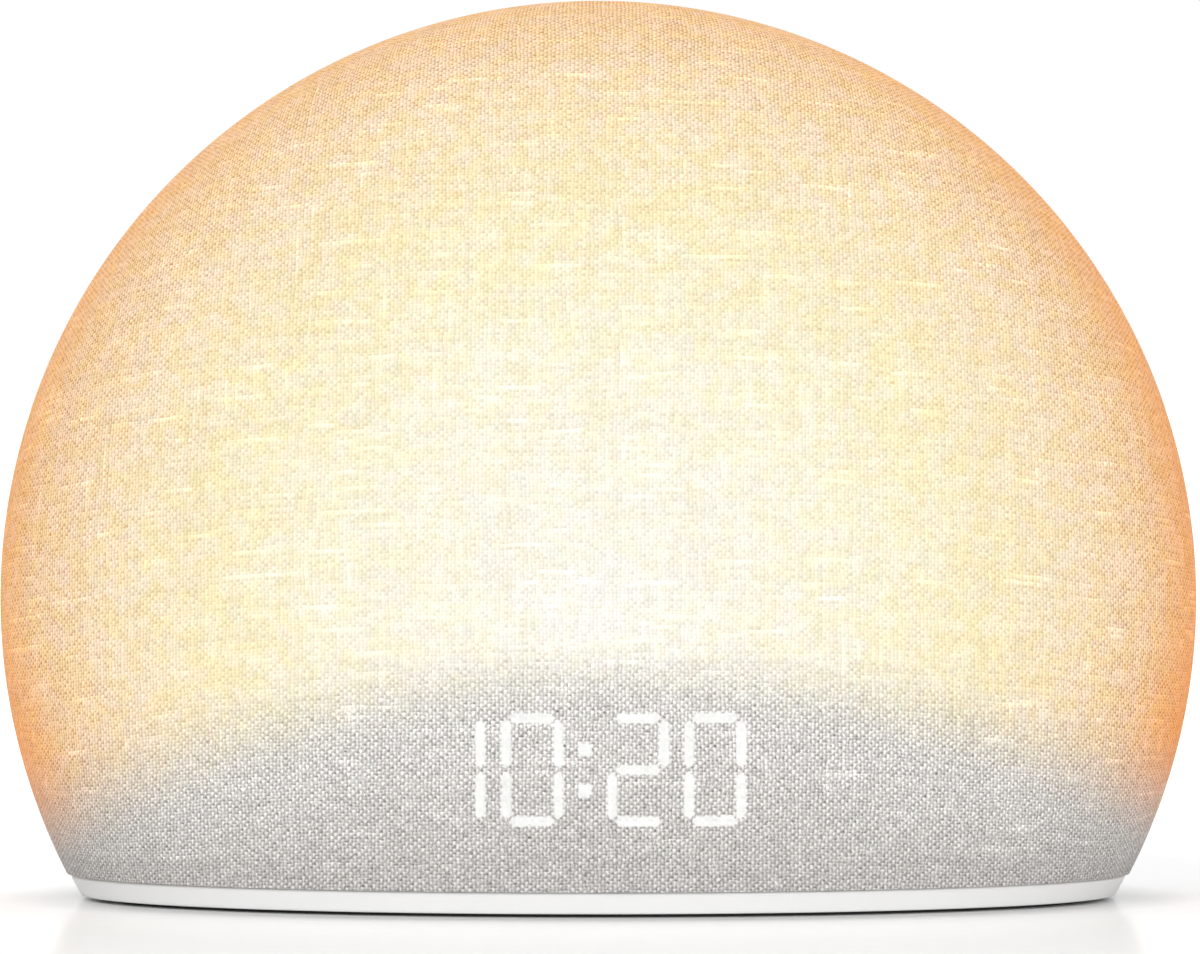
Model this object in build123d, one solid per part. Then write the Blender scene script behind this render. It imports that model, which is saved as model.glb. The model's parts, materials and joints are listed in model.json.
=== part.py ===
from build123d import *
from math import asin, ceil, cos, degrees, hypot, radians, sin, sqrt, tan
import os

# Sunrise alarm clock: a fabric-covered half-moon lamp with a clock display, a speaker and push controls.
#
# Everything is modelled in a dome frame, whose origin is where the dome's axis crosses its widest section.
# The dome's axis runs along Y, the front bulges towards -Y, the flat back faces +Y and Z is up.
# Each piece is moved to its final place as it is written: origin at the bottom centre, on the table.
# All sizes are in millimetres.

# ---- outer form -------------------------------------------------------------------------------
dome_radius = 100.0        # silhouette radius, outside the fabric
front_depth = 57.0         # bulge in front of the widest section
rear_depth = 38.0          # widest section to the flat back
rear_bulge = 70.0          # semi-axis of the ellipse that the rear surface follows
rear_edge_radius = 14.0    # rounding between that surface and the flat back
pole_angle = 0.5           # the crown ends in a tiny flat, so that its surface has no pole
axis_height = 50.0         # dome axis above the table
foot_gap = 0.6             # air under the base rim
base_band = 3.6            # height of the white rim
base_inset = 0.4           # how far the rim stands behind the fabric

# ---- shells and their fits --------------------------------------------------------------------
fabric_wall = 0.6
skin_gap = 0.2             # between fabric and diffuser
diffuser_wall = 1.8
housing_wall = 2.6
seam_y = 8.0               # the fabric ends this far behind the widest section
seam_groove = 0.6          # shadow line between fabric and rear housing
tongue_gap = 0.3           # diffuser to the housing's tongue
tongue_wall = 1.6
tongue_root = 2.4          # length of the step that carries the tongue
seat_gap = 0.1             # between stacked shells and the base rim
fit = 0.2                  # general side clearance

# ---- base -------------------------------------------------------------------------------------
base_floor = 2.4
rim_wall = 2.8
base_edge_round = 0.5
foot_inset = 3.0
foot_width = 6.0
foot_recess = 0.8
rail_height = 4.0
rail_wall = 2.0
rail_half_length = 40.0

# ---- chassis and light engine -----------------------------------------------------------------
chassis_wall = 2.0
pcb = 1.6
led_disc_margin = 24.0     # edge of the light board, in from the silhouette
led_disc_floor = 3.0       # lower edge of the half-disc, above the axis
led_rings = ((54.0, 5), (32.0, 8), (10.0, 12))   # each ring's distance from the disc's edge, and its LEDs
led_margin_angle = 12.0
led_plug_z = 12.0
led_lift = 2.0             # centre of the rings, above the disc's lower edge
led_screw_crown = (10.0, 14.0)   # off the middle, and below the disc's crown
led_screw_side = (20.0, 14.0)    # in from the disc's side, and above the axis
led_size = 5.0
led_height = 1.5
led_lens_radius = 1.9
sheet_wall = 0.4
sheet_margin = 14.0        # edge of the reflector film, in from the silhouette
sheet_window = 6.2
shelf_radius = 172.0
shelf_crown = -9.0         # height of the shelf's upper side, from the axis
shelf_wall = 2.0
shelf_flange = 8.0
shelf_flange_wall = 2.0
shelf_flange_half = 64.0

# ---- display ----------------------------------------------------------------------------------
display_height = -25.65    # middle of the digits, from the axis
digit_height = 18.5
digit_width = 10.1
segment_width = 1.65
segment_gap_flat = 1.15    # what a lying bar is shorter than the place between the upright ones
segment_gap_upright = 1.125
segment_point = 0.6
digit_lefts = (-28.3, -15.7, 1.4, 13.8)   # left edge of each digit place
shown_time = ("1", "0", "2", "0")
colon_x = -2.1
colon_drop = 3.4           # each dot's distance from the middle of the digits
dot_size = 2.2
dot_round = 0.9
marker_x = -24.8           # small unlit dot in front of the leading digit
display_board_depth = 16.0   # front of the dome to the display board
display_board_half = 36.5
display_screw_edge = 3.0
display_plug_z = -27.0
display_post_radius = 2.6
mask_beside = 1.2
mask_below = 2.4
mask_above = 1.8
board_above = 0.8
pipe_gap = 0.08
pipe_start = 1.3           # pipes begin this far in front of the board
chip_size = (1.2, 0.8, 0.8)

# ---- speaker ----------------------------------------------------------------------------------
speaker_z = 8.0
speaker_flange_radius = 30.8
speaker_mouth_radius = 24.8
speaker_screw_ring = 28.3
speaker_screw_head = 1.9
speaker_flange = 2.2
speaker_seat = 2.0         # raised ring on the back wall
speaker_gasket_wall = 0.8
cone_neck_radius = 6.75
cone_edge_radius = 20.7
cone_wall = 0.6
pole_radius = 6.1
coil_radius = 7.1
top_plate_bore = 7.6
magnet_radius = 15.5
plate_radius = 14.0
terminal_x = (-11.6, -6.8)
terminal_drop = (25.4, 28.4)   # below the speaker's axis
terminal_reach = 2.4
chamber_front = 1.0
chamber_radius = 33.6
chamber_wall = 1.8
chamber_ear_radius = 3.4
chamber_ear_reach = 3.2
chamber_ear_wall = 2.0
grille_radius = 23.0
grille_pitch = 3.4
grille_hole = 1.1

# ---- top buttons ------------------------------------------------------------------------------
button_x = 24.0
control_y = 19.0           # middle of all the controls, behind the widest section
button_length = 34.0
button_width = 12.0
button_proud = 0.8
button_gap = 0.35
button_flange = 1.5
button_flange_wall = 1.2
button_travel = 0.8
button_board_depth = 21.0  # underside of the button board, below the crown
button_board_screw_x = 10.0
button_flange_drop = 10.0  # height of the bracket's foot on the chassis
button_board_half = 31.0
switch_size = 6.0
switch_height = 3.5
plunger_radius = 1.7
plunger_reach = 1.2
plunger_gap = 0.1
stem_radius = 2.4

# ---- side rockers -----------------------------------------------------------------------------
rocker_length = 30.0
rocker_width = 8.0
rocker_end_gap = 0.6
rocker_side_gap = 0.35
rocker_wall = 3.2
rocker_pivot_depth = 11.7  # hinge pin, in from the silhouette
rocker_tilt = 2.5
rocker_nub_z = 11.0
rocker_nub_radius = 1.5
rocker_pin_radius = 1.0
rocker_pin_gap = 0.04
rocker_lug_half = 2.4
rocker_ear_gap = 0.4
rocker_ear_wall = 1.6
rocker_ear_radius = 1.9
side_board_depth = 18.0    # inner face of the side boards, in from the silhouette
side_board_half = 16.5
side_foot_screw = (6.5, 11.0)   # in from the side board, and off the middle
side_plug_z = -12.0
side_switch_height = 3.1
side_plunger_reach = 1.0
bracket_wall = 1.6

# ---- main board -------------------------------------------------------------------------------
main_board_side_gap = 7.0  # side edge to the middle of the rear base screws
main_board_front = 3.0
main_board_back_gap = 4.2  # board to the inside of the back wall
main_board_lift = 6.0
usb_width = 8.94
usb_height = 3.26
usb_wall = 0.3
usb_mouth_gap = 0.4        # how far the socket stops short of its recess
usb_depth = 8.6
usb_back_wall = 1.2
usb_recess = (13.0, 7.0)
usb_recess_depth = 5.0
usb_cup_wall = 1.5
connector_size = (6.0, 4.0, 4.5)
connector_row = 3.0        # middle of the front row of sockets, behind the board's edge
module_size = (18.0, 21.0)
module_edge = (8.0, 0.2)   # in from the board's side and back
processor_size = 10.0
memory_size = 5.0
cable_radius = 0.7
wire_radius = 0.55

# ---- screws -----------------------------------------------------------------------------------
screw_radius = 1.2
screw_gap = 0.06           # shank to its pilot hole
screw_head_radius = 2.3
screw_head = 1.4
boss_radius = 3.6
base_screw_front = (52.0, 33.0)   # in from the silhouette, and behind the front
base_screw_rear = (35.0, 20.0)    # in from the silhouette, and behind the widest section
front_boss_height = 8.0
rear_boss_height = 9.0
chassis_bosses = ((34.0, 49.0), (26.0, -36.0))   # in from the silhouette, and above the axis
chassis_boss_depth = 9.0

# ---- derived ----------------------------------------------------------------------------------
far = 4 * dome_radius
origin_y = (front_depth - rear_depth) / 2
ground_z = -axis_height
base_bottom = ground_z + foot_gap
base_top = base_bottom + base_band
floor_top = base_bottom + base_floor
shell_bottom = base_top + seat_gap
diffuser_outer = fabric_wall + skin_gap
diffuser_inner = diffuser_outer + diffuser_wall
chassis_inset = base_inset + rim_wall + fit
inside_dome = diffuser_inner + tongue_gap
tongue_outer = diffuser_inner + tongue_gap
tongue_inner = tongue_outer + tongue_wall
housing_front = seam_y + seam_groove
back_inner = rear_depth - housing_wall
led_disc_radius = dome_radius - led_disc_margin
sheet_radius = dome_radius - sheet_margin
front_boss = (dome_radius - base_screw_front[0], base_screw_front[1] - front_depth)
rear_boss = (dome_radius - base_screw_rear[0], base_screw_rear[1])
chassis_boss_places = [(dome_radius - depth, z) for depth, z in chassis_bosses]
display_bottom = display_height - digit_height / 2
display_top = display_height + digit_height / 2
display_board_y = display_board_depth - front_depth
display_screw_x = display_board_half - display_screw_edge
display_mask_half = mask_beside - digit_lefts[0]
main_board_x = rear_boss[0] - main_board_side_gap
main_board_y = (main_board_front, back_inner - main_board_back_gap)
main_board_z = floor_top + main_board_lift
main_board_top = main_board_z + pcb
usb_z = main_board_top + usb_height / 2
usb_mouth_y = rear_depth - usb_recess_depth - usb_mouth_gap
connector_top = main_board_top + connector_size[2]
side_board_x = dome_radius - side_board_depth
rocker_pivot_x = dome_radius - rocker_pivot_depth
button_board_z = dome_radius - button_board_depth
bracket_z = button_board_z - chassis_wall
switch_top = button_board_z + pcb + switch_height
stem_bottom = switch_top + plunger_reach
speaker_seat_y = back_inner - speaker_seat
flange_front = speaker_seat_y - speaker_gasket_wall
flange_back = flange_front - speaker_flange
pilot = screw_radius + screw_gap
plug_row = main_board_y[0] + connector_row
board_plugs = {
    "left": (18.0 - main_board_x, plug_row), "light": (33.0 - main_board_x, plug_row),
    "display": (main_board_x - 48.0, plug_row), "buttons": (main_board_x - 34.0, plug_row),
    "right": (main_board_x - 18.0, plug_row), "speaker": (sum(terminal_x) / 2, flange_back - 1.9),
}
led_plug = (34.0 - led_disc_radius, led_plug_z)
display_plug = (board_plugs["display"][0], display_plug_z)


# ---- shape helpers ----------------------------------------------------------------------------
def block(x, y, z):
    """A box between two values on each axis."""
    spans = (x, y, z)
    size = [high - low for low, high in spans]
    middle = [(high + low) / 2 for low, high in spans]
    return Pos(*middle) * Box(*size)


def clip(shape, x=(-far, far), y=(-far, far), z=(-far, far)):
    """The part of a shape inside a box."""
    return shape & block(x, y, z)


def rod(start, direction, length, radius):
    """A cylinder from a point along a direction."""
    return extrude(Plane(start, z_dir=direction) * Circle(radius), length)


def rod_y(x, z, y, radius):
    return rod((x, y[0], z), (0, 1, 0), y[1] - y[0], radius)


def rod_z(x, y, z, radius):
    return rod((x, y, z[0]), (0, 0, 1), z[1] - z[0], radius)


def ring_y(z, y, outer, inner):
    """A ring about an axis along Y."""
    return rod_y(0, z, y, outer) - rod_y(0, z, y, inner)


def obround_y(x, z, y, length, width):
    """A long-sided oval along X, pushed along Y."""
    plane = Plane((x, y[0], z), x_dir=(1, 0, 0), z_dir=(0, 1, 0))
    return extrude(plane * SlotOverall(length, width), y[1] - y[0])


def spun(points, z=0.0):
    """A ring made by turning a closed outline of (radius, y) points about an axis along Y."""
    return Pos(0, 0, z) * revolve(make_face(Polyline(*points, close=True)), Axis.Y)


def mirrored(shape):
    return mirror(shape, about=Plane.YZ)


def both_sides(shape):
    return [shape, mirrored(shape)]


def body(inset):
    """The whole outer form, drawn in by an inset, as one solid of revolution."""
    radius = dome_radius - inset
    front = front_depth - inset
    rear = rear_bulge - inset
    back = rear_depth - inset
    reach = degrees(asin(back / rear))
    corner = (radius * cos(radians(reach)), back)
    crown = (radius * sin(radians(pole_angle)), -front * cos(radians(pole_angle)))
    outline = [
        EllipticalCenterArc((0, 0), radius, front, start_angle=pole_angle - 90, arc_size=90 - pole_angle),
        EllipticalCenterArc((0, 0), radius, rear, start_angle=0, arc_size=reach),
        Line(corner, (0, back)),
        Line((0, back), (0, crown[1])),
        Line((0, crown[1]), crown),
    ]
    face = make_face(outline)
    vertex = face.vertices().sort_by_distance(corner)[0]
    face = fillet(vertex, max(rear_edge_radius - inset, 1.0))
    return Rot(0, 90, 0) * revolve(face, Axis.Y)


BODIES = {}


def form(inset):
    """body(), worked out once for each inset."""
    key = round(inset, 4)
    if key not in BODIES:
        BODIES[key] = body(key)
    return BODIES[key]


def shell(outer, inner):
    """The layer between two insets."""
    return form(outer) - form(inner)


def screw(origin, direction, length, radius=screw_radius, head=screw_head, head_radius=screw_head_radius):
    """A pan-head screw: origin is under the head and the shank points along direction."""
    shank = extrude(Circle(radius), length)
    cap = Pos(0, 0, -head / 2) * Cylinder(head_radius, head)
    cap = fillet(cap.edges().filter_by(GeomType.CIRCLE).sort_by(Axis.Z)[0], head * 0.4)
    slot = head_radius * 1.1
    recess = Pos(0, 0, -head) * (Box(slot, 0.5, head) + Box(0.5, slot, head))
    return Plane(origin, z_dir=direction).location * (shank + cap - recess)


def flush_screw(origin, direction, length):
    """A countersunk screw: origin is the middle of the head's outer face."""
    head = Pos(0, 0, screw_head / 2) * Cone(screw_head_radius, screw_radius, screw_head)
    shank = extrude(Circle(screw_radius), length)
    slot = screw_head_radius * 1.1
    recess = Box(slot, 0.5, screw_head) + Box(0.5, slot, screw_head)
    return Plane(origin, z_dir=direction).location * (shank + head - recess)


def cable(points, radius):
    """A round cable along straight runs joined by arcs, each as large as its two runs allow."""
    places = [Vector(*p) for p in points]
    radii = []
    for before, here, after in zip(places, places[1:], places[2:]):
        run_in, run_out = here - before, after - here
        turn = radians(run_in.get_angle(run_out))
        radii.append(0.45 * min(run_in.length, run_out.length) / tan(turn / 2))
    path = FilletPolyline(*places, radius=radii)
    print("cable radii", [round(r, 1) for r in radii], "length", round(path.length, 1))
    return sweep(Plane(path @ 0, z_dir=path % 0) * Circle(radius), path=path)


# ---- casing -----------------------------------------------------------------------------------
def fabric_cover():
    return clip(shell(0, fabric_wall), y=(-far, seam_y), z=(shell_bottom, far))


def base_screw_places():
    return [(side * x, y) for x, y in (front_boss, rear_boss) for side in (1, -1)]


def diffuser_dome():
    """Translucent inner dome, with the two front screw bosses and the two display bosses."""
    dome = clip(shell(diffuser_outer, diffuser_inner), y=(-far, seam_y), z=(shell_bottom, far))
    boss_top = shell_bottom + front_boss_height
    boss_x, boss_y = front_boss
    post = rod_z(boss_x, boss_y, (shell_bottom, boss_top), boss_radius)
    rib = block((boss_x - 1, boss_x + 1), (-far, boss_y), (shell_bottom, boss_top))
    display_post = rod_y(display_screw_x, display_height, (-far, display_board_y), display_post_radius)
    extras = (post + rib + display_post) & form(diffuser_outer + 0.4)
    extras -= rod_z(boss_x, boss_y, (shell_bottom - 1, boss_top + 1), pilot)
    extras -= rod_y(display_screw_x, display_height, (display_board_y - 5.0, display_board_y + 1), pilot)
    return dome + both_sides(extras)


def grille_places():
    """Hexagonal field of hole centres round the speaker's axis."""
    rows = ceil(grille_radius / grille_pitch) + 1
    row_rise = grille_pitch * sin(radians(60))
    places = []
    for row in range(-rows, rows + 1):
        for column in range(-rows, rows + 1):
            x = (column + 0.5 * (row % 2)) * grille_pitch
            z = row * row_rise
            if hypot(x, z) <= grille_radius:
                places.append((x, speaker_z + z))
    return places


def diagonals(reach):
    """Four places round the speaker's axis, on its diagonals."""
    return [(reach * sin(radians(a)), speaker_z + reach * cos(radians(a))) for a in (45, 135, 225, 315)]


def chamber_ears():
    return diagonals(chamber_radius + chamber_ear_reach)


def speaker_screw_places():
    return diagonals(speaker_screw_ring)


def button_prism(grow, low=bracket_z, high=far / 2):
    """Upright oval prism round one top button's outline."""
    outline = SlotOverall(button_length + 2 * grow, button_width + 2 * grow)
    return extrude(Pos(button_x, control_y, low) * outline, high - low)


def rocker_prism(end_gap, side_gap):
    """Sideways oval prism round one rocker's outline."""
    plane = Plane((side_board_x, control_y, 0), x_dir=(0, 0, 1), z_dir=(1, 0, 0))
    outline = SlotOverall(rocker_length + 2 * end_gap, rocker_width + 2 * side_gap)
    return extrude(plane * outline, dome_radius / 2)


def rear_housing():
    """Moulded back shell: tongue into the diffuser, grille, power recess, pockets and bosses."""
    wall = clip(shell(0, housing_wall), y=(housing_front, far))
    root = clip(shell(0, tongue_inner), y=(housing_front, housing_front + tongue_root))
    tongue = clip(shell(tongue_outer, tongue_inner), y=(fit, housing_front + 0.1))
    housing = wall + root + tongue
    seat_y = (speaker_seat_y, back_inner + 0.5)
    housing += ring_y(speaker_z, seat_y, speaker_flange_radius, speaker_mouth_radius)
    cup = (usb_recess[0] + 2 * usb_cup_wall, usb_recess[1] + 2 * usb_cup_wall)
    cup_front = rear_depth - usb_recess_depth - usb_cup_wall
    housing += obround_y(0, usb_z, (cup_front, back_inner + 0.5), *cup)

    bosses = []
    for x, z in chassis_boss_places:
        bosses.append(rod_y(x, z, (fit, far), boss_radius))
    x, y = rear_boss
    boss_top = shell_bottom + rear_boss_height
    bosses.append(rod_z(x, y, (shell_bottom, boss_top), boss_radius))
    bosses.append(block((x, far), (y - 1, y + 1), (shell_bottom, boss_top)))
    bosses.append(block((x - 1, x + 1), (y, far), (shell_bottom, boss_top)))
    bosses = [piece & form(housing_wall / 2) for piece in bosses]
    housing += bosses + [mirrored(piece) for piece in bosses]
    housing = clip(housing, z=(shell_bottom, far))

    cuts = [rod_y(x, z, (back_inner - 1, rear_depth + 1), grille_hole) for x, z in grille_places()]
    cuts += [rod_y(x, z, (back_inner - 1, rear_depth - 0.8), pilot) for x, z in chamber_ears()]
    cuts += [rod_y(x, z, (speaker_seat_y - 1, back_inner + 1), pilot) for x, z in speaker_screw_places()]
    cuts.append(obround_y(0, usb_z, (rear_depth - usb_recess_depth, far / 2), *usb_recess))
    cuts.append(obround_y(0, usb_z, (0, far / 2), usb_width + 2 * fit, usb_height + 2 * fit))
    cuts += both_sides(button_prism(button_gap))
    cuts += both_sides(rocker_prism(rocker_end_gap, rocker_side_gap))
    for x, z in chassis_boss_places:
        cuts += both_sides(rod_y(x, z, (-1, chassis_boss_depth), pilot))
    cuts += both_sides(rod_z(*rear_boss, (shell_bottom - 1, boss_top - 1), pilot))
    return housing - cuts


def base_tray():
    """White base: floor, rim, foot groove, board posts and chassis rails."""
    tray = clip(form(base_inset), z=(base_bottom, base_top))
    tray = fillet(tray.faces().sort_by(Axis.Z)[0].edges(), base_edge_round)
    tray -= clip(form(base_inset + rim_wall), z=(floor_top, far))
    groove = shell(foot_inset, foot_inset + foot_width + 2 * fit)
    tray -= clip(groove, z=(-far, base_bottom + foot_recess))
    rail_z = (floor_top - 0.5, floor_top + rail_height)
    for low in (-chassis_wall - fit - rail_wall, fit):
        tray += block((-rail_half_length, rail_half_length), (low, low + rail_wall), rail_z)
    for x, y in main_board_posts():
        tray += rod_z(x, y, (floor_top - 0.5, main_board_z), boss_radius - 0.4)
        tray -= rod_z(x, y, (floor_top + 1, main_board_z + 1), pilot)
    for x, y in base_screw_places():
        tray += rod_z(x, y, (floor_top - 0.5, base_top), boss_radius + 1)
        tray -= rod_z(x, y, (base_bottom - 1, base_top + 1), screw_radius + fit)
        sink = Cone(screw_head_radius + fit, screw_radius + fit, screw_head)
        tray -= Pos(x, y, base_bottom + screw_head / 2) * sink
    return tray


def foot_ring():
    ring = shell(foot_inset + fit, foot_inset + fit + foot_width)
    return clip(ring, z=(ground_z, base_bottom + foot_recess))


def base_screws():
    return [flush_screw((x, y, base_bottom), (0, 0, 1), 9.0) for x, y in base_screw_places()]


# ---- chassis and light engine -----------------------------------------------------------------
def chassis_screw_places():
    """Where screws enter the chassis from behind: both kinds of bracket."""
    places = [(side * button_x, bracket_z - button_flange_drop / 2) for side in (1, -1)]
    inward, height = side_foot_screw
    places += [(side * (side_board_x - inward), z) for side in (1, -1) for z in (-height, height)]
    return places


def led_board_screw_places():
    crown = (led_screw_crown[0], led_disc_radius - led_screw_crown[1])
    flank = (led_disc_radius - led_screw_side[0], led_screw_side[1])
    return [(side * x, z) for x, z in (crown, flank) for side in (1, -1)]


def shelf_height(x):
    return shelf_crown - shelf_radius + sqrt(shelf_radius ** 2 - x ** 2)


def shelf_screw_places():
    reach = shelf_flange_half - shelf_flange / 2
    return [(x, shelf_height(x) - shelf_wall - shelf_flange / 2) for x in (-reach, 0.0, reach)]


def chassis():
    plate = clip(form(chassis_inset), y=(-chassis_wall, 0), z=(floor_top + seat_gap, far))
    cuts = []
    for x, z in chassis_boss_places:
        cuts += both_sides(rod_y(x, z, (-far, far), pilot))
    for x, z in chassis_screw_places() + led_board_screw_places() + shelf_screw_places():
        cuts.append(rod_y(x, z, (-far, far), pilot))
    plug_x, plug_z = led_plug
    cuts.append(block((plug_x - 5, plug_x + 5), (-far, far), (plug_z - 3.5, plug_z + 3.5)))
    plug_x, plug_z = display_plug
    cuts.append(block((plug_x - 4, plug_x + 4), (-far, far), (plug_z - 5, plug_z + 3)))
    return plate - cuts


def chassis_screws():
    """Screws that join the chassis to the housing, and the brackets, light board and shelf to it."""
    into_housing = []
    for x, z in chassis_boss_places:
        into_housing += [screw((side * x, -chassis_wall, z), (0, 1, 0), 8.0) for side in (1, -1)]
    from_behind = [screw((x, chassis_wall, z), (0, -1, 0), 3.8) for x, z in chassis_screw_places()]
    return into_housing + from_behind + led_board_screws() + shelf_screws()


def half_disc(radius, floor, y):
    return clip(rod_y(0, 0, y, radius), z=(floor, far))


def led_places():
    places = []
    for margin, count in led_rings:
        radius = led_disc_radius - margin
        step = (180 - 2 * led_margin_angle) / (count - 1)
        for number in range(count):
            angle = radians(led_margin_angle + number * step)
            places.append((radius * cos(angle), radius * sin(angle) + led_disc_floor + led_lift))
    return places


def led_board():
    back = -chassis_wall
    board = half_disc(led_disc_radius, led_disc_floor, (back - pcb, back))
    holes = [rod_y(x, z, (-far, far), screw_radius + fit) for x, z in led_board_screw_places()]
    for x, z in chassis_boss_places:
        holes += both_sides(rod_y(x, z, (-far, far), screw_head_radius + fit))
    return board - holes


def leds():
    front = -chassis_wall - pcb
    half = led_size / 2
    packages = []
    for x, z in led_places():
        package = block((x - half, x + half), (front - led_height, front), (z - half, z + half))
        package -= rod_y(x, z, (front - led_height - 1, front - led_height + 0.4), led_lens_radius)
        packages.append(package)
    return packages


def reflector_sheet():
    back = -chassis_wall - pcb
    sheet = half_disc(sheet_radius, led_disc_floor, (back - sheet_wall, back))
    half = sheet_window / 2
    windows = [block((x - half, x + half), (-far, far), (z - half, z + half)) for x, z in led_places()]
    windows += [rod_y(x, z, (-far, far), screw_head_radius + fit) for x, z in led_board_screw_places()]
    return sheet - windows


def led_board_screws():
    front = -chassis_wall - pcb
    return [screw((x, front, z), (0, 1, 0), 4.5) for x, z in led_board_screw_places()]


def led_plug_body():
    x, z = led_plug
    return block((x - 4, x + 4), (-chassis_wall, 4.0), (z - 2.5, z + 2.5))


def light_shelf():
    """Arched wall that keeps the lamp's light out of the display bay, with a flange on the chassis."""
    centre = Pos(0, 0, shelf_crown - shelf_radius)
    arch_y = (-far, -chassis_wall)
    arch = centre * (rod_y(0, 0, arch_y, shelf_radius) - rod_y(0, 0, arch_y, shelf_radius - shelf_wall))
    flange_y = (-chassis_wall - shelf_flange_wall, -chassis_wall)
    inner = shelf_radius - shelf_wall - shelf_flange
    flange = centre * (rod_y(0, 0, flange_y, shelf_radius - 0.5) - rod_y(0, 0, flange_y, inner))
    flange = clip(flange, x=(-shelf_flange_half, shelf_flange_half))
    shelf = clip(arch + flange, z=(floor_top + 2, 0)) & form(inside_dome)
    return shelf - [rod_y(x, z, (-far, far), screw_radius + fit) for x, z in shelf_screw_places()]


def shelf_screws():
    front = -chassis_wall - shelf_flange_wall
    return [screw((x, front, z), (0, 1, 0), 3.9) for x, z in shelf_screw_places()]


# ---- display ----------------------------------------------------------------------------------
SEGMENTS = {"0": "abcdef", "1": "bc", "2": "abged", "8": "abcdefg"}


def segment_places(left, names):
    """Middle and direction of the named segments of one digit place."""
    half_w = segment_width / 2
    x0, x1 = left + half_w, left + digit_width - half_w
    middle = left + digit_width / 2
    top, bottom = display_top - half_w, display_bottom + half_w
    upper, lower = (top + display_height) / 2, (bottom + display_height) / 2
    table = {
        "a": (middle, top, 0), "b": (x1, upper, 90), "c": (x1, lower, 90), "d": (middle, bottom, 0),
        "e": (x0, lower, 90), "f": (x0, upper, 90), "g": (middle, display_height, 0),
    }
    return [table[name] for name in names]


def segment_sketch(grow, turn):
    """Bar with pointed ends, as long as its place in the digit allows."""
    flat = digit_width - segment_width - segment_gap_flat
    upright = (digit_height - segment_width) / 2 - segment_gap_upright
    half_l = (upright if turn else flat) / 2 + grow
    half_w = segment_width / 2 + grow
    body_l = half_l - segment_point
    right = [(body_l, -half_w), (half_l, 0), (body_l, half_w)]
    left = [(-body_l, half_w), (-half_l, 0), (-body_l, -half_w)]
    return make_face(Polyline(*right, *left, close=True))


def dot_sketch(grow):
    """Square dot with its two right-hand corners rounded."""
    side = dot_size + 2 * grow
    square = Rectangle(side, side)
    return fillet(square.vertices().sort_by(Axis.X)[2:], dot_round + grow)


def lamp_places():
    """Every lamp of the display as (x, z, turn, kind, lit)."""
    lamps = []
    for place, (left, shown) in enumerate(zip(digit_lefts, shown_time)):
        fitted = "1" if place == 0 else "8"
        lit = segment_places(left, SEGMENTS[shown])
        for spot in segment_places(left, SEGMENTS[fitted]):
            lamps.append((*spot, "bar", spot in lit))
    for side in (1, -1):
        lamps.append((colon_x, display_height + side * colon_drop, 0, "dot", True))
    lamps.append((marker_x, display_top - dot_size, 0, "dot", False))
    return lamps


def lamp_prism(lamp, grow, start):
    """One lamp's outline pushed forwards from a start plane, past the dome."""
    x, z, turn, kind, lit = lamp
    sketch = segment_sketch(grow, turn) if kind == "bar" else dot_sketch(grow)
    plane = Plane((x, start, z), x_dir=(1, 0, 0), z_dir=(0, -1, 0))
    return extrude(plane * (Rot(0, 0, turn) * sketch), front_depth)


def display_mask():
    """Block with one light well for each lamp; its face follows the inside of the dome."""
    z = (display_bottom - mask_below, display_top + mask_above)
    mask = block((-display_mask_half, display_mask_half), (-far, display_board_y), z)
    mask &= form(inside_dome)
    return mask - [lamp_prism(lamp, pipe_gap, display_board_y + 1) for lamp in lamp_places()]


def display_pipes(lit):
    start = display_board_y - pipe_start
    inside = form(inside_dome)
    return [lamp_prism(lamp, 0, start) & inside for lamp in lamp_places() if lamp[4] == lit]


def display_leds():
    wide, deep, tall = chip_size
    chip = block((-wide / 2, wide / 2), (-deep, 0), (-tall / 2, tall / 2))
    return [Pos(x, display_board_y, z) * Rot(0, turn, 0) * chip for x, z, turn, kind, lit in lamp_places()]


def display_board():
    z = (display_bottom - mask_below, display_top + board_above)
    board = block((-display_board_half, display_board_half), (display_board_y, display_board_y + pcb), z)
    return board - both_sides(rod_y(display_screw_x, display_height, (-far, far), screw_radius + fit))


def display_screws():
    return both_sides(screw((display_screw_x, display_board_y + pcb, display_height), (0, -1, 0), 6.2))


def display_plug_body():
    x, z = display_plug
    back = display_board_y + pcb
    return block((x - 3, x + 3), (back, back + 3), (z - 2, z + 2))


# ---- speaker ----------------------------------------------------------------------------------
basket_bottom = 16.0
former_back = 10.5
former_front = 19.6
cone_back = former_front - 0.8
yoke_back = 4.8
magnet_back = 7.2
top_plate_back = 13.4


def speaker_frame():
    """Basket: seat on the top plate, windowed cone and flange."""
    ledge = basket_bottom + 1.4
    rim = flange_back + 0.1
    frame = spun([(9, basket_bottom), (16, basket_bottom), (16, ledge), (9, ledge)], speaker_z)
    frame += ring_y(speaker_z, (ledge - 0.1, ledge + 0.6), 16.9, 14.6)
    inner, outer = speaker_mouth_radius, speaker_mouth_radius + 1.0
    frame += spun([(15.2, basket_bottom), (16.6, basket_bottom), (outer, rim), (inner, rim)], speaker_z)
    frame += ring_y(speaker_z, (flange_back, flange_front), speaker_flange_radius, inner)
    window = block((plate_radius + 3.5, far), (basket_bottom + 3.5, flange_back - 3.4), (-6, 6))
    frame -= [Pos(0, 0, speaker_z) * Rot(0, angle, 0) * window for angle in (45, 135, 225, 315)]
    high, low = terminal_drop
    frame += block(terminal_x, (flange_back - terminal_reach, rim), (speaker_z - low, speaker_z - high))
    return frame - [rod_y(x, z, (-far, far), screw_radius + fit) for x, z in speaker_screw_places()]


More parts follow.
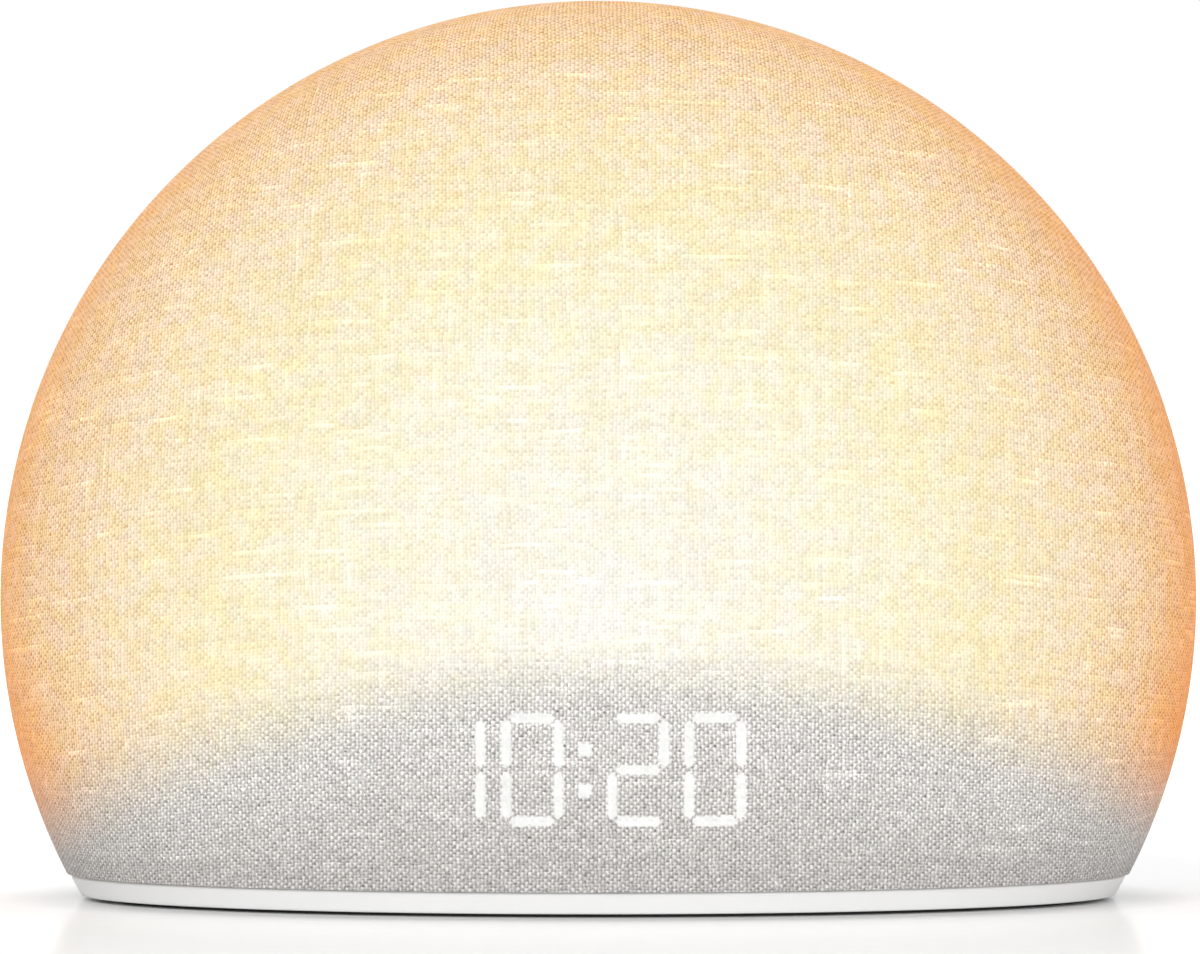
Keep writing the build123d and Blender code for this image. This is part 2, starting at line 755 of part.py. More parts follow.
def speaker_yoke():
    """Back plate with its pole, as one piece."""
    plate = rod_y(0, speaker_z, (yoke_back, magnet_back), plate_radius)
    return plate + rod_y(0, speaker_z, (magnet_back - 0.2, basket_bottom), pole_radius)


def speaker_magnet():
    return ring_y(speaker_z, (magnet_back, top_plate_back), magnet_radius, top_plate_bore + 1.4)


def speaker_top_plate():
    return ring_y(speaker_z, (top_plate_back, basket_bottom), plate_radius, top_plate_bore)


def speaker_voice_coil():
    former = ring_y(speaker_z, (former_back, former_front), cone_neck_radius, cone_neck_radius - 0.25)
    winding = (former_back + 1.5, former_back + 6.0)
    return former + ring_y(speaker_z, winding, coil_radius, cone_neck_radius - 0.1)


def speaker_cone():
    neck = cone_neck_radius + 0.05
    rim = flange_back + 0.2
    points = [
        (neck, cone_back), (neck + cone_wall, cone_back),
        (cone_edge_radius, rim - cone_wall), (cone_edge_radius, rim), (cone_edge_radius - cone_wall, rim),
    ]
    return spun(points, speaker_z)


def speaker_dust_cap():
    """Thin dome over the voice coil, seated on the cone."""
    seat = 8.4
    rise = 3.2
    neck = cone_neck_radius + 0.05
    slope = (flange_back + 0.2 - cone_back) / (cone_edge_radius - cone_wall - neck)
    foot = cone_back + slope * (seat - neck) + 0.1
    ball = (seat ** 2 + rise ** 2) / (2 * rise)
    centre = Pos(0, foot + rise - ball, speaker_z)
    return clip(centre * (Sphere(ball) - Sphere(ball - 0.5)), y=(foot, far))


def speaker_surround():
    """Half-roll rubber edge between cone and flange."""
    middle = (cone_edge_radius + speaker_mouth_radius) / 2
    roll = (speaker_mouth_radius - cone_edge_radius) / 2 - 0.1
    y = flange_back
    outline = [
        CenterArc((middle, y), roll, 0, 180), Line((middle - roll, y), (middle - roll + 0.5, y)),
        CenterArc((middle, y), roll - 0.5, 0, 180), Line((middle + roll - 0.5, y), (middle + roll, y)),
    ]
    return Pos(0, 0, speaker_z) * revolve(make_face(outline), Axis.Y)


def speaker_spider():
    """Corrugated disc that centres the voice coil."""
    y = basket_bottom + 2.0
    inner, outer = cone_neck_radius + 0.05, 15.2
    waves = 4
    step = (outer - inner) / (2 * waves)
    line = [(inner + n * step, y + 0.05 + 0.35 * (n % 2)) for n in range(2 * waves + 1)]
    return spun(line + [(r, h + 0.4) for r, h in reversed(line)], speaker_z)


def speaker_gasket():
    y = (flange_front, speaker_seat_y)
    gasket = ring_y(speaker_z, y, speaker_flange_radius, speaker_mouth_radius)
    return gasket - [rod_y(x, z, (-far, far), screw_radius + fit) for x, z in speaker_screw_places()]


def speaker_screws():
    places = speaker_screw_places()
    return [screw((x, flange_back, z), (0, 1, 0), 5.2, head_radius=speaker_screw_head) for x, z in places]


def speaker_mesh():
    return rod_y(0, speaker_z, (back_inner - 0.4, back_inner), speaker_mouth_radius - 0.4)


def speaker_chamber():
    """Closed cup behind the speaker, screwed to the back wall by four ears."""
    back = back_inner - seat_gap
    cup = ring_y(speaker_z, (chamber_front, back), chamber_radius, chamber_radius - chamber_wall)
    cup += rod_y(0, speaker_z, (chamber_front, chamber_front + chamber_wall), chamber_radius)
    for x, z in chamber_ears():
        ear = rod_y(x, z, (back - chamber_ear_wall, back), chamber_ear_radius)
        cup += ear - rod_y(0, speaker_z, (0, back_inner), chamber_radius - 0.3)
        cup -= rod_y(x, z, (0, far), screw_radius + fit)
    notch_x = (terminal_x[0] - 1.4, terminal_x[1] + 1.3)
    notch_y = (flange_back - terminal_reach - 1.0, flange_back - 0.4)
    return cup - block(notch_x, notch_y, (speaker_z - chamber_radius - 6.4, speaker_z - 26))


def chamber_screws():
    back = back_inner - seat_gap - chamber_ear_wall
    return [screw((x, back, z), (0, 1, 0), 3.6) for x, z in chamber_ears()]


# ---- main board -------------------------------------------------------------------------------
def main_board_posts():
    low, high = main_board_y
    return [(side * (main_board_x - 5), y) for side in (1, -1) for y in (low + 5, high - 6)]


def main_board():
    board = block((-main_board_x, main_board_x), main_board_y, (main_board_z, main_board_top))
    return board - [rod_z(x, y, (-far, far), screw_radius + fit) for x, y in main_board_posts()]


def main_board_screws():
    return [screw((x, y, main_board_top), (0, 0, -1), 5.0) for x, y in main_board_posts()]


def wireless_module():
    """Small carrier board with a stepped shield can."""
    z = main_board_top
    wide, deep = module_size
    left, right = module_edge[0] - main_board_x, module_edge[0] - main_board_x + wide
    back = main_board_y[1] - module_edge[1]
    carrier = block((left, right), (back - deep, back), (z, z + 0.8))
    can = block((left + 1, right - 1), (back - deep + 1, back - deep / 3), (z + 0.8, z + 2.9))
    return carrier + fillet(can.edges().filter_by(Axis.Z), 0.8)


def main_chips():
    """Processor, memory, audio amplifier, lamp driver and regulator."""
    z = main_board_top
    module_right = module_edge[0] + module_size[0] - main_board_x
    plug_left = board_plugs["speaker"][0] - connector_size[0] / 2
    left = module_right + processor_size
    memory = (module_right + plug_left) / 2
    sizes = (
        (left, 18, processor_size, 1.2), (memory, 27.5, memory_size, 0.9), (18, 20, 7, 1.2),
        (main_board_x - 26, 22, 6, 1.1), (main_board_x - 14, 20, 5, 1.0),
    )
    return [Pos(x, y, z + height / 2) * Box(side, side, height) for x, y, side, height in sizes]


def capacitors():
    z = main_board_top
    cans = []
    places = ((10, 26, 3.2, 7.0), (main_board_x - 32, 28, 3.2, 7.0), (main_board_x - 21, 14, 4.0, 9.0))
    for x, y, radius, height in places:
        can = rod_z(x, y, (z, z + height), radius)
        cans.append(fillet(can.edges().sort_by(Axis.Z)[-1], 0.5))
    return cans


def board_connectors():
    middle = (main_board_top + connector_top) / 2
    return [Pos(x, y, middle) * Box(*connector_size) for x, y in board_plugs.values()]


def usb_shell():
    """Oval metal shell of the power socket, open to the back."""
    y = (usb_mouth_y - usb_depth, usb_mouth_y)
    outer = obround_y(0, usb_z, y, usb_width, usb_height)
    hollow = (y[0] + usb_back_wall, y[1] + 1)
    return outer - obround_y(0, usb_z, hollow, usb_width - 2 * usb_wall, usb_height - 2 * usb_wall)


def usb_tongue():
    y = (usb_mouth_y - usb_depth + usb_back_wall, usb_mouth_y - 0.6)
    tongue = block((-3.35, 3.35), y, (usb_z - 0.35, usb_z + 0.35))
    foot = block((-3.6, 3.6), (y[0], y[0] + 1.2), (usb_z - 0.9, usb_z + 0.9))
    return tongue + foot


# ---- top buttons ------------------------------------------------------------------------------
def button_bracket():
    """Shelf behind the chassis that takes the pressing force of both buttons."""
    half = button_board_half + 2
    depth = control_y + switch_size + 2
    drop = button_flange_drop
    flange = block((-half, half), (0, chassis_wall), (bracket_z - drop, button_board_z))
    shelf = block((-half, half), (0, depth), (bracket_z, button_board_z))
    gusset = extrude(
        Plane((half - 2, 0, 0), x_dir=(0, 1, 0), z_dir=(1, 0, 0))
        * make_face(Polyline((0, bracket_z), (depth - 4, bracket_z), (0, bracket_z - drop), close=True)),
        2,
    )
    bracket = flange + shelf + both_sides(gusset)
    bracket -= block((-4, 4), (control_y - 3, control_y + 3), (bracket_z - 1, button_board_z + 1))
    cuts = both_sides(rod_y(button_x, bracket_z - drop / 2, (-far, far), screw_radius + fit))
    cuts += both_sides(rod_z(button_board_screw_x, control_y, (bracket_z - 1, button_board_z + 1), pilot))
    return bracket - cuts


def button_board():
    z = (button_board_z, button_board_z + pcb)
    half = button_board_half
    board = block((-half, half), (control_y - 7, control_y + 7), z)
    return board - both_sides(rod_z(button_board_screw_x, control_y, (-far, far), screw_radius + fit))


def button_board_screws():
    top = button_board_z + pcb
    return both_sides(screw((button_board_screw_x, control_y, top), (0, 0, -1), 3.4))


def button_plug():
    return block((-3, 3), (control_y - 2, control_y + 2), (bracket_z - 2, button_board_z))


def button_switches():
    low = button_board_z + pcb
    middle = Pos(button_x, control_y, (low + switch_top) / 2)
    switch = middle * Box(switch_size, switch_size, switch_height)
    switch -= rod_z(button_x, control_y, (switch_top - 1.6, far), plunger_radius + plunger_gap)
    return both_sides(switch)


def button_plunger():
    return rod_z(button_x, control_y, (switch_top - 0.6, stem_bottom), plunger_radius)


def top_button(mark):
    """Cap that follows the housing, its retaining flange, stem and tactile mark."""
    flange_top = housing_wall + fit
    flange_bottom = flange_top + button_flange_wall
    cap = button_prism(0) & shell(-button_proud, flange_bottom)
    flange = button_prism(button_flange) & shell(flange_top, flange_bottom)
    stem = rod_z(button_x, control_y, (stem_bottom, far / 2), stem_radius) & form(flange_top + 0.2)
    raised = mark & shell(-button_proud - 0.35, 0)
    return cap + flange + stem + raised


def rise_button():
    """Left button, marked with a ring."""
    upright = (bracket_z, far / 2)
    ring = rod_z(button_x, control_y, upright, 2.6) - rod_z(button_x, control_y, upright, 1.8)
    return mirrored(top_button(ring))


def rest_button():
    """Right button, marked with a crescent."""
    upright = (bracket_z, far / 2)
    crescent = rod_z(button_x, control_y, upright, 2.6) - rod_z(button_x + 1.3, control_y, upright, 2.2)
    return top_button(crescent)


# ---- side rockers -----------------------------------------------------------------------------
def rocker():
    """Right-hand rocker: cap, hinge lug, two nubs that press the switches, raised plus and minus marks."""
    cap = rocker_prism(0, 0) & shell(-button_proud, rocker_wall)
    lug_y = (control_y - rocker_lug_half, control_y + rocker_lug_half)
    lug = block((rocker_pivot_x - 2.2, far), lug_y, (-2.2, 2.2))
    plunger_tip = side_board_x + pcb + side_switch_height + side_plunger_reach
    press = rocker_nub_z * sin(radians(rocker_tilt)) + 0.07
    nub = rod((plunger_tip + press, control_y, rocker_nub_z), (1, 0, 0), far / 2, rocker_nub_radius)
    inner = (lug + nub + mirror(nub, about=Plane.XY)) & form(rocker_wall - 0.3)
    hole = rod((rocker_pivot_x, 0, 0), (0, 1, 0), far / 2, rocker_pin_radius + rocker_pin_gap)
    bar, thin = 1.8, 0.45
    upper, lower = rocker_length / 2 - 5, 5 - rocker_length / 2
    flat = (control_y - bar, control_y + bar)
    marks = block((side_board_x, far), flat, (upper - thin, upper + thin))
    marks += block((side_board_x, far), (control_y - thin, control_y + thin), (upper - bar, upper + bar))
    marks += block((side_board_x, far), flat, (lower - thin, lower + thin))
    marks &= shell(-button_proud - 0.3, 0)
    return cap + (inner - hole) + marks


def rocker_bracket():
    """Right-hand bracket: foot on the chassis, plate behind the board and two ears for the pin."""
    plate_x = (side_board_x - bracket_wall, side_board_x)
    depth = control_y + 8
    plate = block(plate_x, (0, depth), (-side_board_half, side_board_half))
    foot = block((side_board_x - 10, side_board_x), (0, chassis_wall), (-side_board_half, side_board_half))
    bracket = plate + foot
    near = rocker_lug_half + rocker_ear_gap
    for low in (control_y + near, control_y - near - rocker_ear_wall):
        ear_z = (-rocker_ear_radius, rocker_ear_radius)
        ear = block((side_board_x - 0.5, rocker_pivot_x), (low, low + rocker_ear_wall), ear_z)
        ear += rod((rocker_pivot_x, low, 0), (0, 1, 0), rocker_ear_wall, rocker_ear_radius)
        bracket += ear
    bracket -= rod((rocker_pivot_x, 0, 0), (0, 1, 0), far / 2, rocker_pin_radius + 0.01)
    plug_z = (side_plug_z - 2.5, side_plug_z + 2.5)
    bracket -= block((side_board_x - 3, side_board_x + 1), (control_y - 3, control_y + 3), plug_z)
    inward, height = side_foot_screw
    holes = [rod_y(side_board_x - inward, z, (-far, far), screw_radius + fit) for z in (-height, height)]
    return bracket - holes


def rocker_pin():
    reach = rocker_lug_half + rocker_ear_gap + rocker_ear_wall
    return rod((rocker_pivot_x, control_y - reach, 0), (0, 1, 0), 2 * reach, rocker_pin_radius)


def side_board():
    z = (-side_board_half, side_board_half)
    board = block((side_board_x, side_board_x + pcb), (control_y - 8, control_y + 8), z)
    ears = rocker_lug_half + rocker_ear_gap + rocker_ear_wall + 2 * fit
    window = block((side_board_x - 1, side_board_x + 3), (control_y - ears, control_y + ears), (-3.2, 3.2))
    return board - window


def side_plug():
    z = (side_plug_z - 2, side_plug_z + 2)
    return block((side_board_x - 5, side_board_x), (control_y - 2, control_y + 2), z)


def side_switches():
    """Two on each side board."""
    low = side_board_x + pcb
    top = low + side_switch_height
    middle = Pos((low + top) / 2, control_y, rocker_nub_z)
    switch = middle * Box(side_switch_height, switch_size, switch_size)
    switch -= rod((top - 1.5, control_y, rocker_nub_z), (1, 0, 0), 5, plunger_radius + plunger_gap)
    return both_sides(switch) + both_sides(mirror(switch, about=Plane.XY))


def side_plungers():
    root = side_board_x + pcb + side_switch_height - 1.4
    length = side_plunger_reach + 1.4
    plunger = rod((root, control_y, rocker_nub_z), (1, 0, 0), length, plunger_radius)
    return both_sides(plunger) + both_sides(mirror(plunger, about=Plane.XY))


# ---- wiring -----------------------------------------------------------------------------------
def down_to(plug, *route):
    """A cable route that ends straight down into one of the main board's plugs."""
    x, y = board_plugs[plug]
    return [*route, (x, y, connector_top + 11.0), (x, y, connector_top)]


def led_cable():
    x, z = led_plug
    route = [(x, 4.0, z), (x, 14.0, z), (x - 2, 15.0, z - 16), (x + 5, 11.0, z - 30)]
    return cable(down_to("light", *route), cable_radius)


def display_cable():
    x, z = display_plug
    start = display_board_y + pcb + 3
    end_x, end_y = board_plugs["display"]
    route = [
        (x, start, z), (x, -20.0, z), (x, -8.0, z - 0.5), (end_x, 1.8, z - 1.4),
        (end_x, end_y, connector_top + 3.4), (end_x, end_y, connector_top),
    ]
    return cable(route, cable_radius)


def button_cable():
    low = bracket_z - 2
    route = [
        (0, control_y, low), (0, control_y, low - 12), (16, 17, low - 22), (33, 14, low - 34), (42, 11, 21),
        (43, 10, -1), (35, 7.5, -17),
    ]
    return cable(down_to("buttons", *route), cable_radius)


def rocker_cable():
    start = side_board_x - 5
    z = side_plug_z
    route = [(start, control_y, z), (start - 11, control_y, z), (start - 23, 14, z - 5)]
    return cable(down_to("right", *route), cable_radius)


def cable_plugs():
    """Plugs on the backs of the small boards."""
    return [led_plug_body(), display_plug_body(), button_plug(), *both_sides(side_plug())]


def signal_cables():
    return [led_cable(), display_cable(), button_cable(), *both_sides(rocker_cable())]


def speaker_wires():
    x, y = board_plugs["speaker"]
    top = speaker_z - terminal_drop[1]
    return [rod_z(x + side * 1.6, y, (connector_top, top), wire_radius) for side in (1, -1)]


def board_screws():
    """Screws of the display, main and button boards."""
    return display_screws() + main_board_screws() + button_board_screws()


# ---- writing the pieces -----------------------------------------------------------------------
def group(shapes):
    """Separate solids that share one file."""
    return Compound([solid for shape in shapes for solid in shape.solids()])


def write(name, shape):
    """Moves a piece to the row frame and writes its file."""
    placed = Pos(0, origin_y, axis_height) * shape
    export_step(placed, f"parts/{name}.step")


SINGLE = (
    fabric_cover, diffuser_dome, rear_housing, base_tray, foot_ring, chassis, led_board, reflector_sheet,
    light_shelf, display_mask, display_board, speaker_frame, speaker_yoke, speaker_magnet,
    speaker_top_plate, speaker_voice_coil, speaker_cone, speaker_dust_cap, speaker_surround,
    speaker_spider, speaker_gasket, speaker_mesh, speaker_chamber, main_board, wireless_module,
    usb_shell, usb_tongue, button_bracket, button_board, rise_button, rest_button,
)
GROUPED = (
    base_screws, chassis_screws, board_screws, speaker_screws, chamber_screws, leds, display_leds,
    main_chips, capacitors, board_connectors, cable_plugs, signal_cables, speaker_wires, button_switches,
    side_switches, side_plungers,
)
PAIRED = {"rocker_brackets": rocker_bracket, "rocker_pins": rocker_pin, "side_boards": side_board}


def main():
    os.makedirs("parts", exist_ok=True)
    for make in SINGLE:
        write(make.__name__, make())
    for make in GROUPED:
        write(make.__name__, group(make()))
    for name, make in PAIRED.items():
        write(name, group(both_sides(make())))
    write("display_pipes_lit", group(display_pipes(True)))
    write("display_pipes_dark", group(display_pipes(False)))
    write("rest_plunger", button_plunger())
    write("rise_plunger", mirrored(button_plunger()))
    write("volume_rocker", rocker())
    write("brightness_rocker", mirrored(rocker()))


if __name__ == "__main__":
    main()
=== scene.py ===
from functools import partial
import json
import math
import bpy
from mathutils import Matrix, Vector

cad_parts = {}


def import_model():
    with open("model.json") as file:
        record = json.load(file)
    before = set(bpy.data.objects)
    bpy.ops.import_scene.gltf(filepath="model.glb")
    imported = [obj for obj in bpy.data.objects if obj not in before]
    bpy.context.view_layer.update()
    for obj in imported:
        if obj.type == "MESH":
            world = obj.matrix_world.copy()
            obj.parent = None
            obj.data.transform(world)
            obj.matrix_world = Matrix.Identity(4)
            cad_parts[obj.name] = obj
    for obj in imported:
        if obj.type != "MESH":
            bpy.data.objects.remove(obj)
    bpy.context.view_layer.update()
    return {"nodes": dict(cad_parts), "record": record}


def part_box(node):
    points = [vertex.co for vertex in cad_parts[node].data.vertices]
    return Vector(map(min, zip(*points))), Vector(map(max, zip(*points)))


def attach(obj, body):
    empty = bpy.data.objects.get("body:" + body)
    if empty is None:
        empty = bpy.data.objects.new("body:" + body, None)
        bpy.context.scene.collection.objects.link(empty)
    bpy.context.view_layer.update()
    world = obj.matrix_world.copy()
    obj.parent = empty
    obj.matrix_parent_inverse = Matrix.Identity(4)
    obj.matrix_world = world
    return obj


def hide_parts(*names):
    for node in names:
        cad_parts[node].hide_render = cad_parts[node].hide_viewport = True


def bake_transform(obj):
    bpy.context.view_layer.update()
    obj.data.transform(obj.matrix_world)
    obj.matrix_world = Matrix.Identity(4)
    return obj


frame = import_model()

from types import SimpleNamespace

import bmesh
import bpy
from mathutils import Vector

MM = 0.001
NODES = frame["nodes"]
PIECES = {part["node"]: part["material_slot"] for part in frame["record"]["subparts"]}

# ---- sizes of the cloth, in metres, read from the frame where it holds them ----------------------
cover_low, cover_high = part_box("fabric_cover")
SEAM_BACK = 8.0 * MM                       # the cloth ends this far behind the widest section
RADIUS = (cover_high.x - cover_low.x) / 2
CENTRE = Vector((0.0, cover_high.y - SEAM_BACK, cover_high.z - RADIUS))
FRONT = CENTRE.y - cover_low.y             # bulge in front of the widest section
REAR = 70.0 * MM                           # semi-axis of the ellipse behind it
HEM_Z = cover_low.z - 0.07 * MM            # just below the CAD cover's own hem
CLOTH = 0.5 * MM                           # thickness
WARP_PITCH = 0.64 * MM                     # upright threads
WEFT_PITCH = 0.555 * MM                    # level threads
WEFT_BOW = 8.7 * MM                        # the level threads hang this much lower at the sides

# ---- the clock display and the lamp, in millimetres from the dome's axis ------------------------
DIGITS_Z = -25.65                          # middle of the digits
DIGIT_HEIGHT = 18.5
DIGIT_WIDTH = 10.1
BAR_WIDTH = 1.7
LEVEL_BAR = 7.5                            # lengths of the lit bars
UPRIGHT_BAR = 7.75
BAR_POINT = 0.7                            # length of the slope at a bar's end
ONE_LEFT, ZERO_LEFT, TWO_LEFT, LAST_ZERO_LEFT = -28.3, -15.7, 1.4, 13.8
COLON_X = -2.1
COLON_DROP = 3.4                           # from the middle of the digits to each dot
DOT = 2.2
ARCH_RADIUS = 200.0                        # the arch that ends the glow
ARCH_X = 3.7
GLOW_END = -10.1                           # where the glow is half gone, in the middle
GLOW_FADE = 5.8                            # half the width of the change there
GLOW_SPREAD = 0.06                         # the change is this much wider for each millimetre to the side


def srgb(r, g, b):
    """Linear colour of an 8-bit screen colour."""
    def part(v):
        v /= 255
        return v / 12.92 if v <= 0.04045 else ((v + 0.055) / 1.055) ** 2.4
    return (part(r), part(g), part(b), 1.0)


def grey(level):
    return srgb(level, level, level)


# ---- node arithmetic ------------------------------------------------------------------------------
class Value:
    """A socket that takes part in arithmetic: each operation adds one Math node."""

    def __init__(self, tree, socket):
        self.tree = tree
        self.socket = socket

    def math(self, operation, *others):
        node = self.tree.nodes.new("ShaderNodeMath")
        node.operation = operation
        for place, item in enumerate((self, *others)):
            if isinstance(item, Value):
                self.tree.links.new(item.socket, node.inputs[place])
            else:
                node.inputs[place].default_value = item
        return Value(self.tree, node.outputs[0])

    def __add__(self, other):
        return self.math("ADD", other)

    def __sub__(self, other):
        return self.math("SUBTRACT", other)

    def __mul__(self, other):
        return self.math("MULTIPLY", other)

    def __truediv__(self, other):
        return self.math("DIVIDE", other)

    __radd__ = __add__
    __rmul__ = __mul__

    def __rsub__(self, other):
        return (self * -1.0) + other

    def __abs__(self):
        return self.math("ABSOLUTE")

    def floor(self):
        return self.math("FLOOR")

    def fract(self):
        return self.math("FRACT")

    def cos(self):
        return self.math("COSINE")

    def sin(self):
        return self.math("SINE")

    def sign(self):
        return self.math("SIGN")

    def sqrt(self):
        return self.math("SQRT")

    def squared(self):
        return self.math("MULTIPLY", self)

    def power(self, exponent):
        return self.math("POWER", exponent)

    def least(self, other):
        return self.math("MINIMUM", other)

    def most(self, other):
        return self.math("MAXIMUM", other)

    def above(self, other):
        return self.math("GREATER_THAN", other)

    def ramp(self, low, high):
        """0 at low and 1 at high, with a smooth step between them."""
        node = self.tree.nodes.new("ShaderNodeMapRange")
        node.interpolation_type = "SMOOTHSTEP"
        self.tree.links.new(self.socket, node.inputs["Value"])
        node.inputs["From Min"].default_value = low
        node.inputs["From Max"].default_value = high
        return Value(self.tree, node.outputs["Result"])


class Paint:
    """A material's node tree with the few nodes that every finish here uses."""

    def __init__(self, name):
        self.material = bpy.data.materials.new(name)
        self.material.use_nodes = True
        self.tree = self.material.node_tree
        self.shader = self.tree.nodes["Principled BSDF"]
        self.place = self.tree.nodes.new("ShaderNodeTexCoord").outputs["Object"]

    def feed(self, socket, item):
        """Links a socket, or sets its constant."""
        if isinstance(item, (int, float)):
            socket.default_value = item
        elif isinstance(item, tuple):
            socket.default_value = item[:len(socket.default_value)]
        else:
            self.tree.links.new(getattr(item, "socket", item), socket)

    def value(self, socket):
        return Value(self.tree, socket)

    def split(self, vector):
        node = self.tree.nodes.new("ShaderNodeSeparateXYZ")
        self.feed(node.inputs[0], vector)
        return [self.value(socket) for socket in node.outputs]

    def join(self, *parts):
        node = self.tree.nodes.new("ShaderNodeCombineXYZ")
        for socket, part in zip(node.inputs, parts):
            self.feed(socket, part)
        return node.outputs[0]

    def noise(self, scale, detail=2.0, rough=0.5, vector=None):
        node = self.tree.nodes.new("ShaderNodeTexNoise")
        self.feed(node.inputs["Vector"], self.place if vector is None else vector)
        node.inputs["Scale"].default_value = scale
        node.inputs["Detail"].default_value = detail
        node.inputs["Roughness"].default_value = rough
        return self.value(node.outputs["Fac"])

    def random(self, number):
        """White noise of one number."""
        node = self.tree.nodes.new("ShaderNodeTexWhiteNoise")
        node.noise_dimensions = "1D"
        self.feed(node.inputs["W"], number)
        return self.value(node.outputs["Value"])

    def random2(self, vector):
        """White noise of a vector's first two numbers."""
        node = self.tree.nodes.new("ShaderNodeTexWhiteNoise")
        node.noise_dimensions = "2D"
        self.feed(node.inputs["Vector"], vector)
        return self.value(node.outputs["Value"])

    def mix(self, factor, a, b):
        """Colour a at a factor of 0, and b at 1."""
        node = self.tree.nodes.new("ShaderNodeMix")
        node.data_type = "RGBA"
        for key, item in (("Factor", factor), ("A", a), ("B", b)):
            self.feed(next(s for s in node.inputs if s.name == key and s.enabled), item)
        return next(s for s in node.outputs if s.enabled)

    def colours(self, factor, stops):
        """A colour ramp through (place, colour) stops."""
        node = self.tree.nodes.new("ShaderNodeValToRGB")
        elements = node.color_ramp.elements
        for place, colour in stops[1:-1]:
            elements.new(place).color = colour
        elements[0].position, elements[0].color = stops[0]
        elements[-1].position, elements[-1].color = stops[-1]
        self.feed(node.inputs[0], factor)
        return node.outputs[0]

    def vector_math(self, operation, first, key, second):
        node = self.tree.nodes.new("ShaderNodeVectorMath")
        node.operation = operation
        self.feed(node.inputs[0], first)
        self.feed(node.inputs[key], second)
        return node.outputs[0]

    def scaled(self, colour, factor):
        """A colour times a number."""
        return self.vector_math("SCALE", colour, "Scale", factor)

    def times(self, a, b):
        """Product of two colours."""
        return self.vector_math("MULTIPLY", a, 1, b)

    def bump(self, height, distance, strength=1.0):
        node = self.tree.nodes.new("ShaderNodeBump")
        node.inputs["Strength"].default_value = strength
        node.inputs["Distance"].default_value = distance
        self.feed(node.inputs["Height"], height)
        self.feed(self.shader.inputs["Normal"], node.outputs[0])

    def set(self, **sockets):
        """Feeds the shader's sockets by name, with _ for a space."""
        for name, item in sockets.items():
            self.feed(self.shader.inputs[name.replace("_", " ")], item)


# ---- finishes of the CAD pieces -------------------------------------------------------------------
def moulded(name, colour, rough=0.45, grain=2600.0, depth=0.02, tone=0.04):
    """Moulded plastic: fine spark-eroded grain, faint flow marks and a little uneven gloss."""
    paint = Paint(name)
    flow = paint.noise(22.0, 3.0)
    fine = paint.noise(grain, 2.0, 0.6)
    shade = 1.0 - tone + flow * tone + (fine - 0.5) * (tone * 0.7)
    paint.set(Base_Color=paint.scaled(colour, shade), Roughness=rough - 0.06 + flow * 0.07 + fine * 0.06)
    paint.bump(fine, depth * MM)
    return paint.material


def metal(name, colour, rough=0.32, brushed=(40.0, 40.0, 2400.0)):
    """Drawn or turned metal: streaks along one direction and a few dull spots."""
    paint = Paint(name)
    along = [part * scale for part, scale in zip(paint.split(paint.place), brushed)]
    streaks = paint.noise(1.0, 3.0, 0.6, paint.join(*along))
    spots = paint.noise(300.0, 3.0)
    paint.set(Base_Color=paint.scaled(colour, 0.88 + spots * 0.12 + streaks * 0.08))
    paint.set(Metallic=1.0, Roughness=rough - 0.1 + streaks * 0.2)
    paint.bump(streaks, 0.01 * MM)
    return paint.material


def board(name, colour, copper):
    """Printed board: coated laminate with faint tracks under the lacquer."""
    paint = Paint(name)
    x, _, z = paint.split(paint.place)
    lanes = ((x + z) * 700.0 + paint.noise(120.0, 1.0) * 3.0).fract()
    used = paint.noise(90.0, 0.0).ramp(0.5, 0.56)
    track = lanes.ramp(0.38, 0.46) * (1.0 - lanes.ramp(0.56, 0.64)) * used
    paint.set(Base_Color=paint.mix(track * 0.5, colour, copper))
    paint.set(Roughness=0.35 + paint.noise(900.0) * 0.15)
    paint.bump(track, 0.03 * MM)
    return paint.material


def fibrous(name, colour, scale=1400.0, rough=0.85):
    """Paper pulp, felt or sintered material: matted short fibres."""
    paint = Paint(name)
    mat = paint.noise(scale, 5.0, 0.7)
    paint.set(Base_Color=paint.scaled(colour, 0.7 + mat * 0.6), Roughness=rough)
    paint.bump(mat, 0.08 * MM)
    return paint.material


def netting(name, colour, pitch=0.5 * MM):
    """Plain net of round threads, seen along Y."""
    paint = Paint(name)
    x, _, z = paint.split(paint.place)
    upright, level = [abs((part * (1 / pitch)).fract() - 0.5) * 2.0 for part in (x, z)]
    thread = upright.most(level).ramp(0.35, 0.75)
    paint.set(Base_Color=paint.scaled(colour, 0.35 + thread * 0.65), Roughness=0.8)
    paint.bump(thread, 0.1 * MM)
    return paint.material


def rubber(name, colour, rough=0.7):
    """Soft rubber: matt, with fine pores and dust in them."""
    paint = Paint(name)
    dust = paint.noise(60.0, 4.0, 0.6)
    pores = paint.noise(1800.0, 2.0)
    paint.set(Base_Color=paint.scaled(colour, 0.85 + dust * 0.3), Roughness=rough + pores * 0.15)
    paint.bump(pores, 0.03 * MM)
    return paint.material


